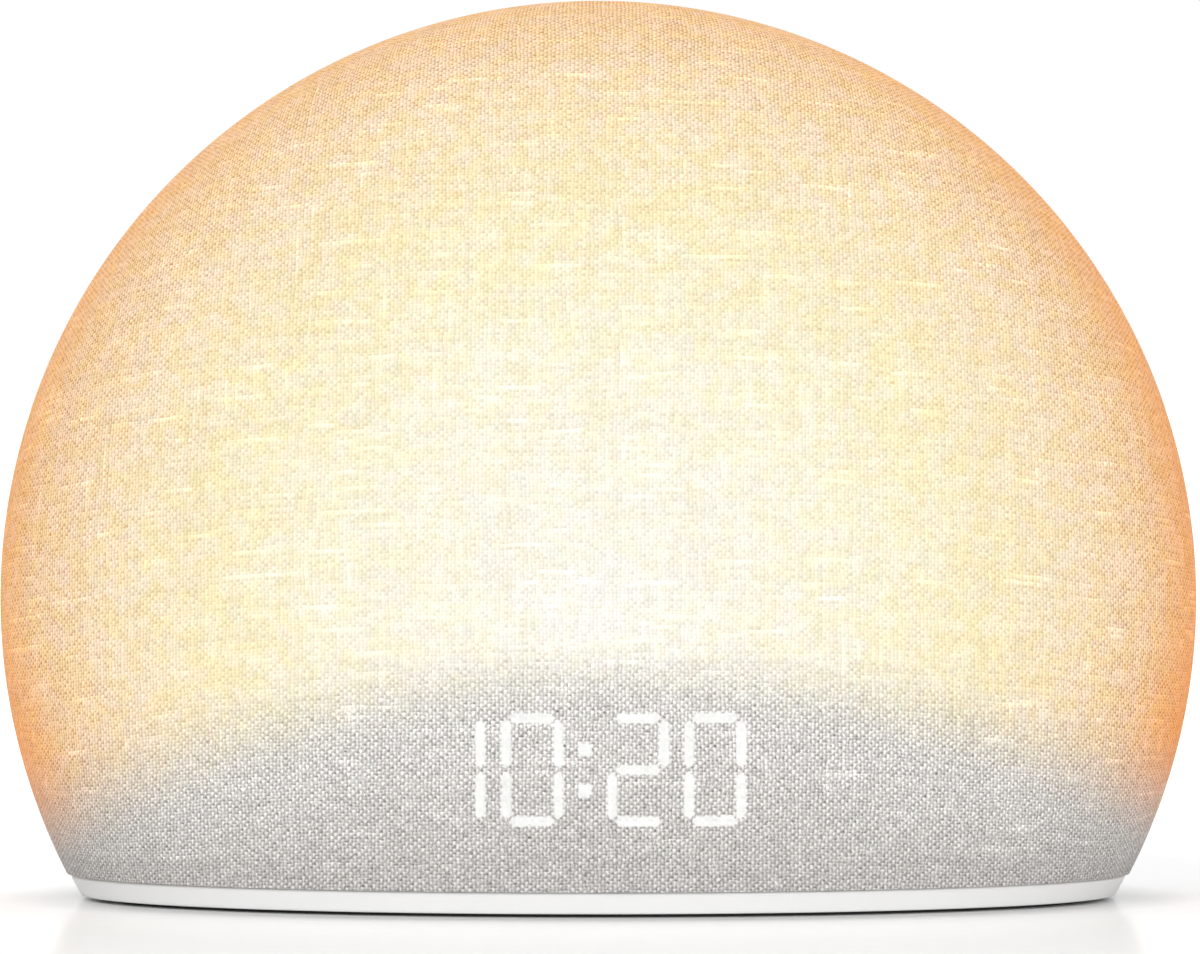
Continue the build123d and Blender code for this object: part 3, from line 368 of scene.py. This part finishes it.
FINISHES = {
    "diffuser": moulded("opal_diffuser", srgb(240, 238, 230), 0.5, 1500.0),
    "white_shell": moulded("white_shell", srgb(246, 246, 245), 0.42, 2600.0, 0.018, 0.03),
    "grey_rubber": rubber("grey_rubber", grey(58)),
    "inner_plastic": moulded("inner_plastic", grey(196), 0.55),
    "white_board": board("white_board", grey(232), srgb(214, 214, 200)),
    "green_board": board("green_board", srgb(24, 82, 52), srgb(66, 128, 82)),
    "led_package": moulded("led_package", srgb(238, 214, 120), 0.3, 3000.0),
    "reflector": moulded("reflector_film", grey(244), 0.3, 900.0),
    "dark_plastic": moulded("dark_plastic", grey(44), 0.5),
    "light_pipe": moulded("light_pipe", grey(226), 0.25, 900.0, 0.01),
    "speaker_steel": metal("speaker_steel", grey(150), 0.4),
    "ferrite": fibrous("ferrite", grey(52), 2600.0, 0.6),
    "copper": metal("copper_wire", srgb(196, 112, 62), 0.3),
    "cone_paper": fibrous("cone_paper", grey(46)),
    "black_rubber": rubber("black_rubber", grey(34)),
    "spider_cloth": netting("spider_cloth", srgb(196, 160, 96)),
    "mesh_cloth": netting("mesh_cloth", grey(52)),
    "screw_steel": metal("screw_steel", grey(172), 0.28, (1500.0, 1500.0, 60.0)),
    "tinned_steel": metal("tinned_steel", grey(188), 0.25),
    "chip_black": moulded("chip_black", grey(36), 0.5, 3400.0),
    "capacitor_sleeve": moulded("capacitor_sleeve", grey(60), 0.3),
    "plug_plastic": moulded("plug_plastic", srgb(232, 226, 208), 0.5),
    "cable_black": rubber("cable_black", grey(30), 0.5),
    "plunger_plastic": moulded("plunger_plastic", grey(70), 0.45),
}
CONTROLS = ("rise_button", "rest_button", "volume_rocker", "brightness_rocker")
control_finish = moulded("control_plastic", srgb(238, 238, 237), 0.5, 1900.0, 0.03, 0.03)
for node, piece in NODES.items():
    finish = control_finish if node in CONTROLS else FINISHES.get(PIECES[node])
    if finish is None:                     # the cover, which the woven one replaces
        continue
    if not piece.material_slots:
        piece.data.materials.append(finish)
    for slot in piece.material_slots:
        slot.material = finish


# ---- woven cover: its form ------------------------------------------------------------------------
RAYS = 384
FRONT_RINGS = 116
REAR_RINGS = 7
EVENING = 0.091                            # moves the rings so that they lie about evenly on the ellipse
ARC_STEPS = 400
TINY = 1e-6


def meridian():
    """(radius, y) from the crown of the dome to the seam, in about even steps."""
    line = []
    for n in range(1, FRONT_RINGS + 1):
        a = math.pi / 2 * (n / FRONT_RINGS)
        a -= EVENING * math.sin(2 * a)
        line.append((RADIUS * math.sin(a), -FRONT * math.cos(a)))
    end = math.asin(SEAM_BACK / REAR)
    for n in range(1, REAR_RINGS + 1):
        b = end * n / REAR_RINGS
        line.append((RADIUS * math.cos(b), REAR * math.sin(b)))
    return line


def arc_length(half_width, half_height):
    """Table of (distance from the axis, length walked) round a quarter ellipse from its crown."""
    table = [(0.0, 0.0)]
    last = (0.0, half_height)
    walked = 0.0
    for n in range(1, ARC_STEPS + 1):
        a = math.pi / 2 * n / ARC_STEPS
        here = (half_width * math.sin(a), half_height * math.cos(a))
        walked += math.hypot(here[0] - last[0], here[1] - last[1])
        table.append((here[0], walked))
        last = here
    return table


UNIT = arc_length(1.0, FRONT / RADIUS)
UNIT_LENGTH = UNIT[-1][1]


def walked(share):
    """Length along the unit front ellipse out to a share of its half width."""
    low, high = 0, len(UNIT) - 1
    while high - low > 1:
        middle = (low + high) // 2
        if UNIT[middle][0] <= share:
            low = middle
        else:
            high = middle
    (x0, s0), (x1, s1) = UNIT[low], UNIT[high]
    return s0 + (s1 - s0) * (share - x0) / (x1 - x0)


def thread_count(across, along, y, pitch):
    """Threads counted from the middle, where the section at this height is a scaled copy of the whole."""
    if y > -TINY:
        return (RADIUS * UNIT_LENGTH + y) * across / math.hypot(across, along) / pitch
    size = math.sqrt(max(1.0 - (along / RADIUS) ** 2, TINY))
    length = RADIUS * size * walked(min(abs(across) / (RADIUS * size), 1.0))
    return math.copysign(length / pitch, across)


def count_threads(mesh):
    """Writes the threads counted across and up as the cloth's own coordinates."""
    layer = mesh.loops.layers.uv.new("weave")
    for face in mesh.faces:
        for loop in face.loops:
            x, y, z = loop.vert.co - CENTRE
            bow = WEFT_BOW * abs(x / RADIUS) ** 3
            loop[layer].uv = (
                thread_count(x, z, y, WARP_PITCH),
                thread_count(z, x, y, WEFT_PITCH) + bow / WEFT_PITCH,
            )


def cover_mesh():
    """The outer face of the cover, cut level at its hem."""
    mesh = bmesh.new()
    crown = mesh.verts.new((CENTRE.x, CENTRE.y - FRONT, CENTRE.z))
    rings = []
    for radius, y in meridian():
        ring = []
        for n in range(RAYS):
            a = 2 * math.pi * n / RAYS
            ring.append(mesh.verts.new(CENTRE + Vector((radius * math.cos(a), y, radius * math.sin(a)))))
        rings.append(ring)
    for n in range(RAYS):
        after = (n + 1) % RAYS
        mesh.faces.new((crown, rings[0][n], rings[0][after]))
        for inner, outer in zip(rings, rings[1:]):
            mesh.faces.new((inner[n], outer[n], outer[after], inner[after]))
    count_threads(mesh)
    everything = mesh.verts[:] + mesh.edges[:] + mesh.faces[:]
    bmesh.ops.bisect_plane(
        mesh, geom=everything, dist=TINY, plane_co=(0, 0, HEM_Z), plane_no=(0, 0, -1), clear_outer=True
    )
    bmesh.ops.remove_doubles(mesh, verts=mesh.verts[:], dist=0.02 * MM)
    bmesh.ops.recalc_face_normals(mesh, faces=mesh.faces[:])
    return mesh


def thicken(mesh):
    """Turns the surface into cloth of its own thickness, closed all round its edge."""
    mesh.normal_update()
    if mesh.faces[0].normal.dot(mesh.faces[0].calc_center_median() - CENTRE) < 0:
        bmesh.ops.reverse_faces(mesh, faces=mesh.faces[:])
        mesh.normal_update()
    layer = mesh.loops.layers.uv["weave"]
    normals = {v: v.normal.copy() for v in mesh.verts}
    outer_faces = mesh.faces[:]
    border = [e for e in mesh.edges if e.is_boundary]
    inner = {v: mesh.verts.new(v.co - normals[v] * CLOTH) for v in list(normals)}
    edge_middle = {}
    for edge in border:
        for v in edge.verts:
            if v not in edge_middle:
                edge_middle[v] = mesh.verts.new(v.co - normals[v] * (CLOTH / 2))
    for face in outer_faces:
        loops = list(face.loops)
        copy = mesh.faces.new([inner[l.vert] for l in reversed(loops)])
        for loop, source in zip(copy.loops, reversed(loops)):
            loop[layer].uv = source[layer].uv
    for edge in border:
        edge.smooth = False
        first = edge.link_loops[0]
        second = first.link_loop_next
        a, b = first.vert, second.vert
        uv_a, uv_b = first[layer].uv.copy(), second[layer].uv.copy()
        for high, low in (({a: a, b: b}, edge_middle), (edge_middle, inner)):
            strip = mesh.faces.new((high[b], high[a], low[a], low[b]))
            for loop, uv in zip(strip.loops, (uv_b, uv_a, uv_a, uv_b)):
                loop[layer].uv = uv


def new_piece(name, mesh, material):
    data = bpy.data.meshes.new(name)
    mesh.to_mesh(data)
    mesh.free()
    for polygon in data.polygons:
        polygon.use_smooth = True
    data.materials.append(material)
    piece = bpy.data.objects.new(name, data)
    bpy.context.scene.collection.objects.link(piece)
    return piece


# ---- woven cover: its look ------------------------------------------------------------------------
DRIFT, WOBBLE = 1.6, 0.9                   # how far threads stray in long and short waves, in pitches
SENT, RETURNED = 0.81, 0.25                # parts of the lit colour that the cloth sends out and reflects
COVER_RELIEF = 0.07 * MM
UNLIT_DARK, UNLIT_LIGHT = srgb(128, 125, 123), srgb(252, 249, 248)
DIGIT_DARK, DIGIT_LIGHT = srgb(243, 243, 241), srgb(255, 255, 255)
# colours of the lit threads and of the gaps between them, from the middle of the dome to its rim
THREAD_GLOW = (
    (0.0, srgb(255, 254, 243)), (0.423, srgb(255, 251, 226)), (0.62, srgb(255, 246, 210)),
    (0.771, srgb(255, 239, 206)), (0.855, srgb(255, 230, 192)), (0.902, srgb(255, 220, 177)),
    (0.931, srgb(254, 207, 155)), (0.955, srgb(253, 196, 140)), (1.0, srgb(251, 176, 112)),
)
GAP_GLOW = (
    (0.0, srgb(238, 231, 214)), (0.423, srgb(237, 224, 193)), (0.62, srgb(232, 210, 167)),
    (0.771, srgb(223, 186, 142)), (0.855, srgb(207, 154, 107)), (0.902, srgb(196, 135, 80)),
    (0.931, srgb(204, 126, 66)), (0.955, srgb(204, 118, 56)), (1.0, srgb(200, 104, 42)),
)


def bar(across, along, half_length, half_width):
    """Distance outside a bar with pointed ends, in millimetres."""
    slant = math.hypot(BAR_POINT, half_width)
    tip = ((abs(along) - half_length) * (half_width / slant)) + abs(across) * (BAR_POINT / slant)
    return (abs(across) - half_width).most(tip)


def shown_time(x, z):
    """Distance outside the lit bars and dots that read 10:20."""
    half_w, half_level, half_upright = BAR_WIDTH / 2, LEVEL_BAR / 2, UPRIGHT_BAR / 2
    side = DIGIT_WIDTH / 2 - half_w
    top = DIGIT_HEIGHT / 2 - half_w
    half = top / 2
    level = z - DIGITS_Z
    tall = abs(level)

    one = bar(x - (ONE_LEFT + DIGIT_WIDTH - half_w), tall - half, half_upright, half_w)

    first, last = ZERO_LEFT + DIGIT_WIDTH / 2, LAST_ZERO_LEFT + DIGIT_WIDTH / 2
    zero_x = abs(abs(x - (first + last) / 2) - (last - first) / 2)
    zero = bar(zero_x - side, tall - half, half_upright, half_w)
    zero = zero.least(bar(tall - top, zero_x, half_level, half_w))

    two_x = x - (TWO_LEFT + DIGIT_WIDTH / 2)
    two = bar(two_x * level.sign() - side, tall - half, half_upright, half_w)
    for height in (tall - top, level):
        two = two.least(bar(height, two_x, half_level, half_w))

    dots = abs(x - COLON_X).most(abs(tall - COLON_DROP)) - DOT / 2
    cut_corner = (x - COLON_X) + (tall - COLON_DROP) - DOT * 0.74
    dots = dots.most(cut_corner * 0.7)
    return one.least(zero).least(two).least(dots)


def woven(paint):
    """The plain weave, worked out from the threads counted across the warp (u) and up the weft (v)."""
    X, Y, Z = paint.split(paint.place)
    counts = paint.tree.nodes.new("ShaderNodeUVMap")
    counts.uv_map = "weave"
    u, v, _ = paint.split(counts.outputs[0])
    u = u + (paint.noise(55.0, 2.0) - 0.5) * DRIFT + (paint.noise(620.0, 1.0) - 0.5) * WOBBLE
    drift = paint.noise(70.0, 2.0, vector=paint.join(X + 3.0, Y, Z)) - 0.5
    wobble = paint.noise(560.0, 1.0, vector=paint.join(X + 5.0, Y, Z)) - 0.5
    v = v + drift * DRIFT + wobble * WOBBLE
    i, j = u.floor(), v.floor()
    du, dv = u.fract() - 0.5, v.fract() - 0.5

    # thick and thin places along each thread, and a few long thick ones
    cloth = SimpleNamespace(i=i, j=j)
    cloth.warp_slub = paint.noise(1.0, 2.0, 0.6, paint.join(i * 0.83, v * 0.075, 0.0))
    cloth.weft_slub = paint.noise(1.0, 2.0, 0.6, paint.join(j * 0.77, u * 0.06, 4.0))
    cloth.warp_thick = paint.noise(1.0, 1.0, 0.5, paint.join(i * 7.3, v * 0.05, 13.0)).ramp(0.66, 0.75)
    cloth.weft_thick = paint.noise(1.0, 1.0, 0.5, paint.join(j * 7.3, u * 0.04, 9.0)).ramp(0.63, 0.72)

    # each thread's round back, high where it lies on top
    warp_wave = ((v - 0.5 + i) * math.pi).cos()
    weft_wave = ((u - 0.5 + j) * math.pi).cos() * -1.0
    warp_round = (1.0 - (du / (cloth.warp_slub * 0.12 + 0.38)).squared()).most(0.0).sqrt()
    weft_round = (1.0 - (dv / (cloth.weft_slub * 0.12 + 0.37)).squared()).most(0.0).sqrt()
    cloth.height = (warp_round * (warp_wave * 0.42 + 0.58)).most(weft_round * (weft_wave * 0.42 + 0.52))
    cloth.warp_line = (1.0 - (du * 2.0).squared()) * (warp_wave * 0.5 + 0.5).power(0.85)
    cloth.weft_line = (1.0 - (dv * 2.0).squared()) * (weft_wave * 0.5 + 0.5)
    cloth.checker = (u * math.pi).sin() * (v * math.pi).sin()
    cloth.dive = (cloth.checker * -1.0).most(0.0).power(1.3)

    # waves that are highest on each thread's middle, and on its flank that faces left or up; the flank
    # waves carry painted light and shade, as if lit from the upper left
    cloth.warp_middle = (u * math.tau).cos() * -1.0
    cloth.warp_flank = (u * math.tau).sin()
    cloth.weft_middle = (v * math.tau).cos() * -1.0
    cloth.weft_flank = (v * math.tau).sin() * -1.0

    # what differs from crossing to crossing
    cloth.cell = paint.random2(paint.join(i, j, 0.0))
    pinhole = paint.random2(paint.join(i + 41.0, j + 17.0, 0.0)).above(0.9975)
    cloth.pinhole = pinhole * (1.0 - (du.squared() + dv.squared()) * 5.0).most(0.0)
    cloth.fibre = paint.noise(2600.0, 1.0) - 0.5
    return cloth


def front_light(cloth):
    """How white the unlit weave is: bright where the thick warp lies on top, dark where it dives, with
    painted light and shade on the thread flanks.
    """
    warp = cloth.warp_line * (cloth.cell * 0.2 + 0.64)
    weft = cloth.weft_line * (cloth.cell * 0.15 + 0.43)
    white = warp.most(weft) - cloth.dive * 0.26
    # painted light and shade: thread flanks that face left and up are lighter, the others darker, as if lit
    # from the upper left
    white = white + cloth.warp_flank * 0.12 - cloth.warp_middle * 0.01
    white = white + cloth.weft_flank * 0.09 - cloth.weft_middle * 0.065
    white = white + 0.215 - cloth.pinhole * 0.5 + (cloth.cell - 0.5) * 0.08
    return white + (cloth.weft_slub - 0.5) * 0.05 + cloth.fibre


def back_light(cloth):
    """0 where the lamp shines through a gap between the threads, 1 where it lights a thread, with painted
    light on the thread flanks.
    """
    rough = (cloth.cell - 0.5) * 0.34 + cloth.fibre * 0.3 - cloth.pinhole * 0.8
    veil = cloth.height * 0.42 - cloth.dive * 0.80 + 0.63 + rough
    # painted light: thread flanks that face left and up are lighter, as if lit from the upper left
    veil = veil + cloth.warp_flank * 0.21 + cloth.warp_middle * 0.24 + cloth.weft_flank * 0.12
    return veil.ramp(0.0, 1.0)


def unevenness(paint, cloth):
    """Yarn that is a little lighter, darker or greener from place to place."""
    mottle = paint.noise(130.0, 3.0, 0.6) - 0.5
    tone = 0.95 + (paint.random(cloth.i) - 0.5) * 0.04 + (paint.random(cloth.j + 0.37) - 0.5) * 0.04
    tone = tone + mottle * 0.05 + (cloth.cell - 0.5) * 0.06
    tone = tone + (cloth.warp_slub - 0.5) * 0.12 + (cloth.weft_slub - 0.5) * 0.15
    tone = tone + cloth.weft_thick * 0.18 + cloth.warp_thick * 0.12
    patches = paint.noise(460.0, 1.0).ramp(0.35, 0.65)
    return paint.scaled(paint.mix(patches, (1.0, 0.99, 0.985, 1.0), (0.988, 0.998, 0.972, 1.0)), tone)


def unlit_colour(paint, white, reach, from_arch, z):
    """Plain cloth, with painted light next to the arch where the lamp's glow spills, and painted shade
    towards the rim and the hem.
    """
    # painted light: the cloth is lighter nearer the arch, where the lamp's glow spills over
    shade = 0.965 + from_arch.ramp(-28.0, -6.0) * 0.135
    # painted shade: darker towards the rim and the hem, where the cloth turns away from the light
    shade = shade - reach.ramp(0.7, 1.02) * 0.15 - (z * -1.0).ramp(32.0, 54.0) * 0.1
    return paint.scaled(paint.mix(white, UNLIT_DARK, UNLIT_LIGHT), shade)


def lit_colour(paint, cloth, reach, x, z):
    """Glowing cloth, near white in the middle and orange at the rim, sooner at the sides and low down."""
    patch = paint.noise(300.0, 2.0).ramp(0.36, 0.64) * (reach * 0.65 + 0.3)
    warm = paint.mix(patch, (1.0, 1.0, 1.09, 1.0), (1.0, 0.97, 0.83, 1.0))
    up = z / (RADIUS / MM)
    place = reach + x * 0.00012 + 0.03 - up.most(0.0).squared() * 0.056 - up.least(0.0) * 0.13
    place = place * 0.94
    gap, thread = paint.colours(place, GAP_GLOW), paint.colours(place, THREAD_GLOW)
    return paint.times(paint.mix(back_light(cloth), gap, thread), warm)


def cover_cloth():
    """Plain-woven slubby cloth, lit from behind by the lamp and the clock display."""
    paint = Paint("cover_fabric")
    X, _, Z = paint.split(paint.place)
    x = X * (1 / MM)
    z = (Z - CENTRE.z) * (1 / MM)
    reach = (x.squared() + z.squared()).sqrt() / (RADIUS / MM)
    from_arch = ((x - ARCH_X).squared() + (z - (GLOW_END - ARCH_RADIUS)).squared()).sqrt() - ARCH_RADIUS
    cloth = woven(paint)
    white = front_light(cloth)
    unlit = unlit_colour(paint, white, reach, from_arch, z)
    lit = lit_colour(paint, cloth, reach, x, z)

    # where the lamp and the digits shine
    lamp = ((from_arch + (cloth.cell - 0.5)) / (abs(x) * GLOW_SPREAD + GLOW_FADE)).ramp(-1.0, 1.0)
    outside = shown_time(x, z) + (cloth.cell - 0.5) * 0.3 - cloth.checker * 0.08
    digit = 1.0 - outside.ramp(-0.24, 0.2)
    shine = paint.mix((digit * 4.0).least(1.0), lit, paint.mix(white, DIGIT_DARK, DIGIT_LIGHT))
    amount = lamp.most(digit)

    uneven = unevenness(paint, cloth)
    reflected = paint.mix(amount, unlit, paint.scaled(shine, RETURNED))
    paint.set(Base_Color=paint.times(reflected, uneven))
    paint.set(Emission_Color=paint.times(paint.scaled(shine, amount * SENT), uneven), Emission_Strength=1.0)
    paint.set(Roughness=0.9, Specular_IOR_Level=0.08, Sheen_Weight=0.03, Sheen_Roughness=0.5)
    paint.bump(cloth.height, COVER_RELIEF, 0.8)
    return paint.material


cover_bmesh = cover_mesh()
one_side = sum(face.calc_area() for face in cover_bmesh.faces)
thicken(cover_bmesh)
cover = new_piece("woven_cover", cover_bmesh, cover_cloth())
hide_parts("fabric_cover")
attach(cover, "case")
# the half-moon as cut has 3% less area than one side of the stretched cover
one_side * 0.97


# ---- parts that flex between the speaker's frame and its cone -------------------------------------
SECTORS = 12
SECTOR_STEPS = 6
CREASE = 0.7                               # edges that turn more than this, in radians, stay sharp
SPIDER_INNER = 6.8 * MM
SPIDER_CLOTH = 0.4 * MM
SPIDER_WAVES = 4
WAVE_STEPS = 8
SPIDER_STILL, SPIDER_MOVING = 9.6 * MM, 7.4 * MM         # the radii between which the spider bends
SURROUND_SKIN = 0.5 * MM
SURROUND_STEPS = 16
SURROUND_STILL, SURROUND_MOVING = 23.4 * MM, 21.3 * MM


def spider_profile():
    """Corrugated disc, cut across its thickness."""
    low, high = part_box("speaker_spider")
    outer = (high.x - low.x) / 2
    half = (high.y - low.y - SPIDER_CLOTH) / 2
    steps = SPIDER_WAVES * WAVE_STEPS
    line = []
    for n in range(steps + 1):
        r = SPIDER_INNER + (outer - SPIDER_INNER) * n / steps
        y = low.y + half * (1 - math.cos(math.tau * n / WAVE_STEPS))
        line.append((r, y + SPIDER_CLOTH, r, y))
    return line


def surround_profile():
    """Half-round roll of rubber, cut across its thickness."""
    low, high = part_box("speaker_surround")
    over = high.y - low.y
    under = over - SURROUND_SKIN
    middle = (high.x - low.x) / 2 - over
    line = []
    for n in range(SURROUND_STEPS + 1):
        a = math.pi * (1 - n / SURROUND_STEPS)
        out, back = math.cos(a), math.sin(a)
        line.append((middle + over * out, low.y + over * back, middle + under * out, low.y + under * back))
    return line


def on_ring(radius, y, turn, centre_z):
    """A place at an angle on a ring about the speaker's axis."""
    return (radius * math.cos(turn), y, centre_z + radius * math.sin(turn))


def sector_mesh(sector, profile, centre_z):
    """A closed sector of a turned ring. A row of the profile is (radius, y) on one face, then the other."""
    mesh = bmesh.new()
    slices = []
    for step in range(SECTOR_STEPS + 1):
        turn = math.tau * (sector + step / SECTOR_STEPS) / SECTORS
        place = partial(on_ring, turn=turn, centre_z=centre_z)
        top = [mesh.verts.new(place(r, y)) for r, y, _, _ in profile]
        bottom = [mesh.verts.new(place(r, y)) for _, _, r, y in profile]
        slices.append((top, bottom))
    last = len(profile) - 1
    for (top, bottom), (next_top, next_bottom) in zip(slices, slices[1:]):
        for k in range(last):
            mesh.faces.new((top[k], top[k + 1], next_top[k + 1], next_top[k]))
            mesh.faces.new((bottom[k], next_bottom[k], next_bottom[k + 1], bottom[k + 1]))
        mesh.faces.new((top[0], next_top[0], next_bottom[0], bottom[0]))
        mesh.faces.new((top[last], bottom[last], next_bottom[last], next_top[last]))
    for (top, bottom), order in ((slices[0], 1), (slices[-1], -1)):
        for k in range(last):
            mesh.faces.new((top[k], bottom[k], bottom[k + 1], top[k + 1])[::order])
    bmesh.ops.recalc_face_normals(mesh, faces=mesh.faces)
    for edge in mesh.edges:
        edge.smooth = edge.calc_face_angle(0.0) < CREASE
    return mesh


def flexing_ring(name, node, profile, still, moving):
    """A turned ring in equal sectors, each a piece of its own; the places on its middle at the still and
    the moving radius are worked out but not used.
    """
    low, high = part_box(node)
    centre_z = (low.z + high.z) / 2
    for sector in range(SECTORS):
        mesh = sector_mesh(sector, profile, centre_z)
        piece = new_piece(f"{name}_{sector + 1:02d}", mesh, FINISHES[PIECES[node]])
        middle = math.tau * (sector + 0.5) / SECTORS
        at = partial(on_ring, y=low.y, turn=middle, centre_z=centre_z)
        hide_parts(node)
        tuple(at(still))
        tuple(at(moving))
        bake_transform(piece)


flexing_ring("spider", "speaker_spider", spider_profile(), SPIDER_STILL, SPIDER_MOVING)
flexing_ring("surround", "speaker_surround", surround_profile(), SURROUND_STILL, SURROUND_MOVING)


# ---- floor, light and camera ----------------------------------------------------------------------
FLOOR_SIZE = 6.0
FLOOR_LIFT = 0.13                          # glow of the floor
FLOOR_FAR = 0.5                            # more of it far away, where the floor meets the white background
CONTACT_SHADE = 12.0 * MM                  # the object takes that glow away this far round it
WORLD_LIGHT = 0.5
PHOTO_WIDTH = 1200.0                       # this and the next four count pixels of the photograph
FOCAL_PIXELS = 8965.0
AXIS_BELOW = 122.0                         # from the middle of the picture down to the dome's axis
AXIS_LEFT = 1.7
PIXELS_PER_METRE = 5977.0
SENSOR = 36.0
CAMERA_DISTANCE = 1.5
CAMERA_ELEVATION = 2.0


def seen(tree):
    """1 for what the camera sees, also in gloss and through glass, and 0 for rays that only carry light."""
    rays = tree.nodes.new("ShaderNodeLightPath").outputs
    kinds = ("Is Camera Ray", "Is Glossy Ray", "Is Transmission Ray")
    direct, glossy, through = (Value(tree, rays[kind]) for kind in kinds)
    return direct.most(glossy).most(through)


def stage_floor():
    """White lacquered floor with a weak mirror image, which glows as bright as the background far away."""
    mesh = bmesh.new()
    bmesh.ops.create_grid(mesh, x_segments=8, y_segments=8, size=FLOOR_SIZE)
    paint = Paint("floor_white")
    grain = paint.noise(220.0, 3.0)
    paint.set(Base_Color=paint.mix(grain, grey(244), grey(248)), Roughness=0.12 + grain * 0.02, IOR=1.045)
    x, y, _ = paint.split(paint.place)
    away = (x.squared() + y.squared()).sqrt().ramp(0.1, 0.5)
    shade = paint.tree.nodes.new("ShaderNodeAmbientOcclusion")
    shade.samples = 8
    shade.inputs["Distance"].default_value = CONTACT_SHADE
    near = paint.value(shade.outputs["AO"]).power(1.5)
    paint.set(Emission_Color=(1.0, 1.0, 1.0, 1.0))
    paint.set(Emission_Strength=seen(paint.tree) * (away * FLOOR_FAR + near * FLOOR_LIFT))
    floor = new_piece("floor", mesh, paint.material)


def world():
    """White background that lights the object at half its brightness."""
    studio = bpy.data.worlds.new("studio")
    bpy.context.scene.world = studio
    studio.use_nodes = True
    tree = studio.node_tree
    background = tree.nodes["Background"]
    background.inputs["Color"].default_value = (1.0, 1.0, 1.0, 1.0)
    strength = seen(tree) * (1.0 - WORLD_LIGHT) + WORLD_LIGHT
    tree.links.new(strength.socket, background.inputs["Strength"])


def softbox(name, place, target, size, power):
    data = bpy.data.lights.new(name, "AREA")
    data.shape = "RECTANGLE"
    data.size, data.size_y = size
    data.energy = power
    light = bpy.data.objects.new(name, data)
    light.location = place
    light.rotation_euler = (Vector(target) - Vector(place)).to_track_quat("-Z", "Y").to_euler()
    bpy.context.scene.collection.objects.link(light)


def camera():
    """A long lens at the height of the dome's upper half, aimed a little above the dome's axis."""
    data = bpy.data.cameras.new("camera")
    data.sensor_width = SENSOR
    data.lens = FOCAL_PIXELS / PHOTO_WIDTH * SENSOR
    data.clip_end = 50.0
    view = bpy.data.objects.new("camera", data)
    tilt = math.radians(CAMERA_ELEVATION)
    view.location = CENTRE + Vector((0.0, -math.cos(tilt), math.sin(tilt))) * CAMERA_DISTANCE
    view.location.x += AXIS_LEFT / PIXELS_PER_METRE
    pitch = -tilt + math.atan(AXIS_BELOW / FOCAL_PIXELS)
    view.rotation_euler = (math.pi / 2 + pitch, 0.0, 0.0)
    bpy.context.scene.collection.objects.link(view)
    bpy.context.scene.camera = view


stage_floor()
world()
softbox("key", (-0.9, -1.6, 1.7), (0.0, 0.0, 0.05), (1.6, 1.2), 15.0)
softbox("fill", (0.5, -1.9, 0.35), (0.0, 0.0, 0.03), (2.4, 0.6), 15.0)
softbox("top", (0.0, 0.5, 2.0), (0.0, 0.0, 0.0), (2.0, 1.6), 12.0)
camera()
bpy.context.scene.view_settings.view_transform = "Standard"
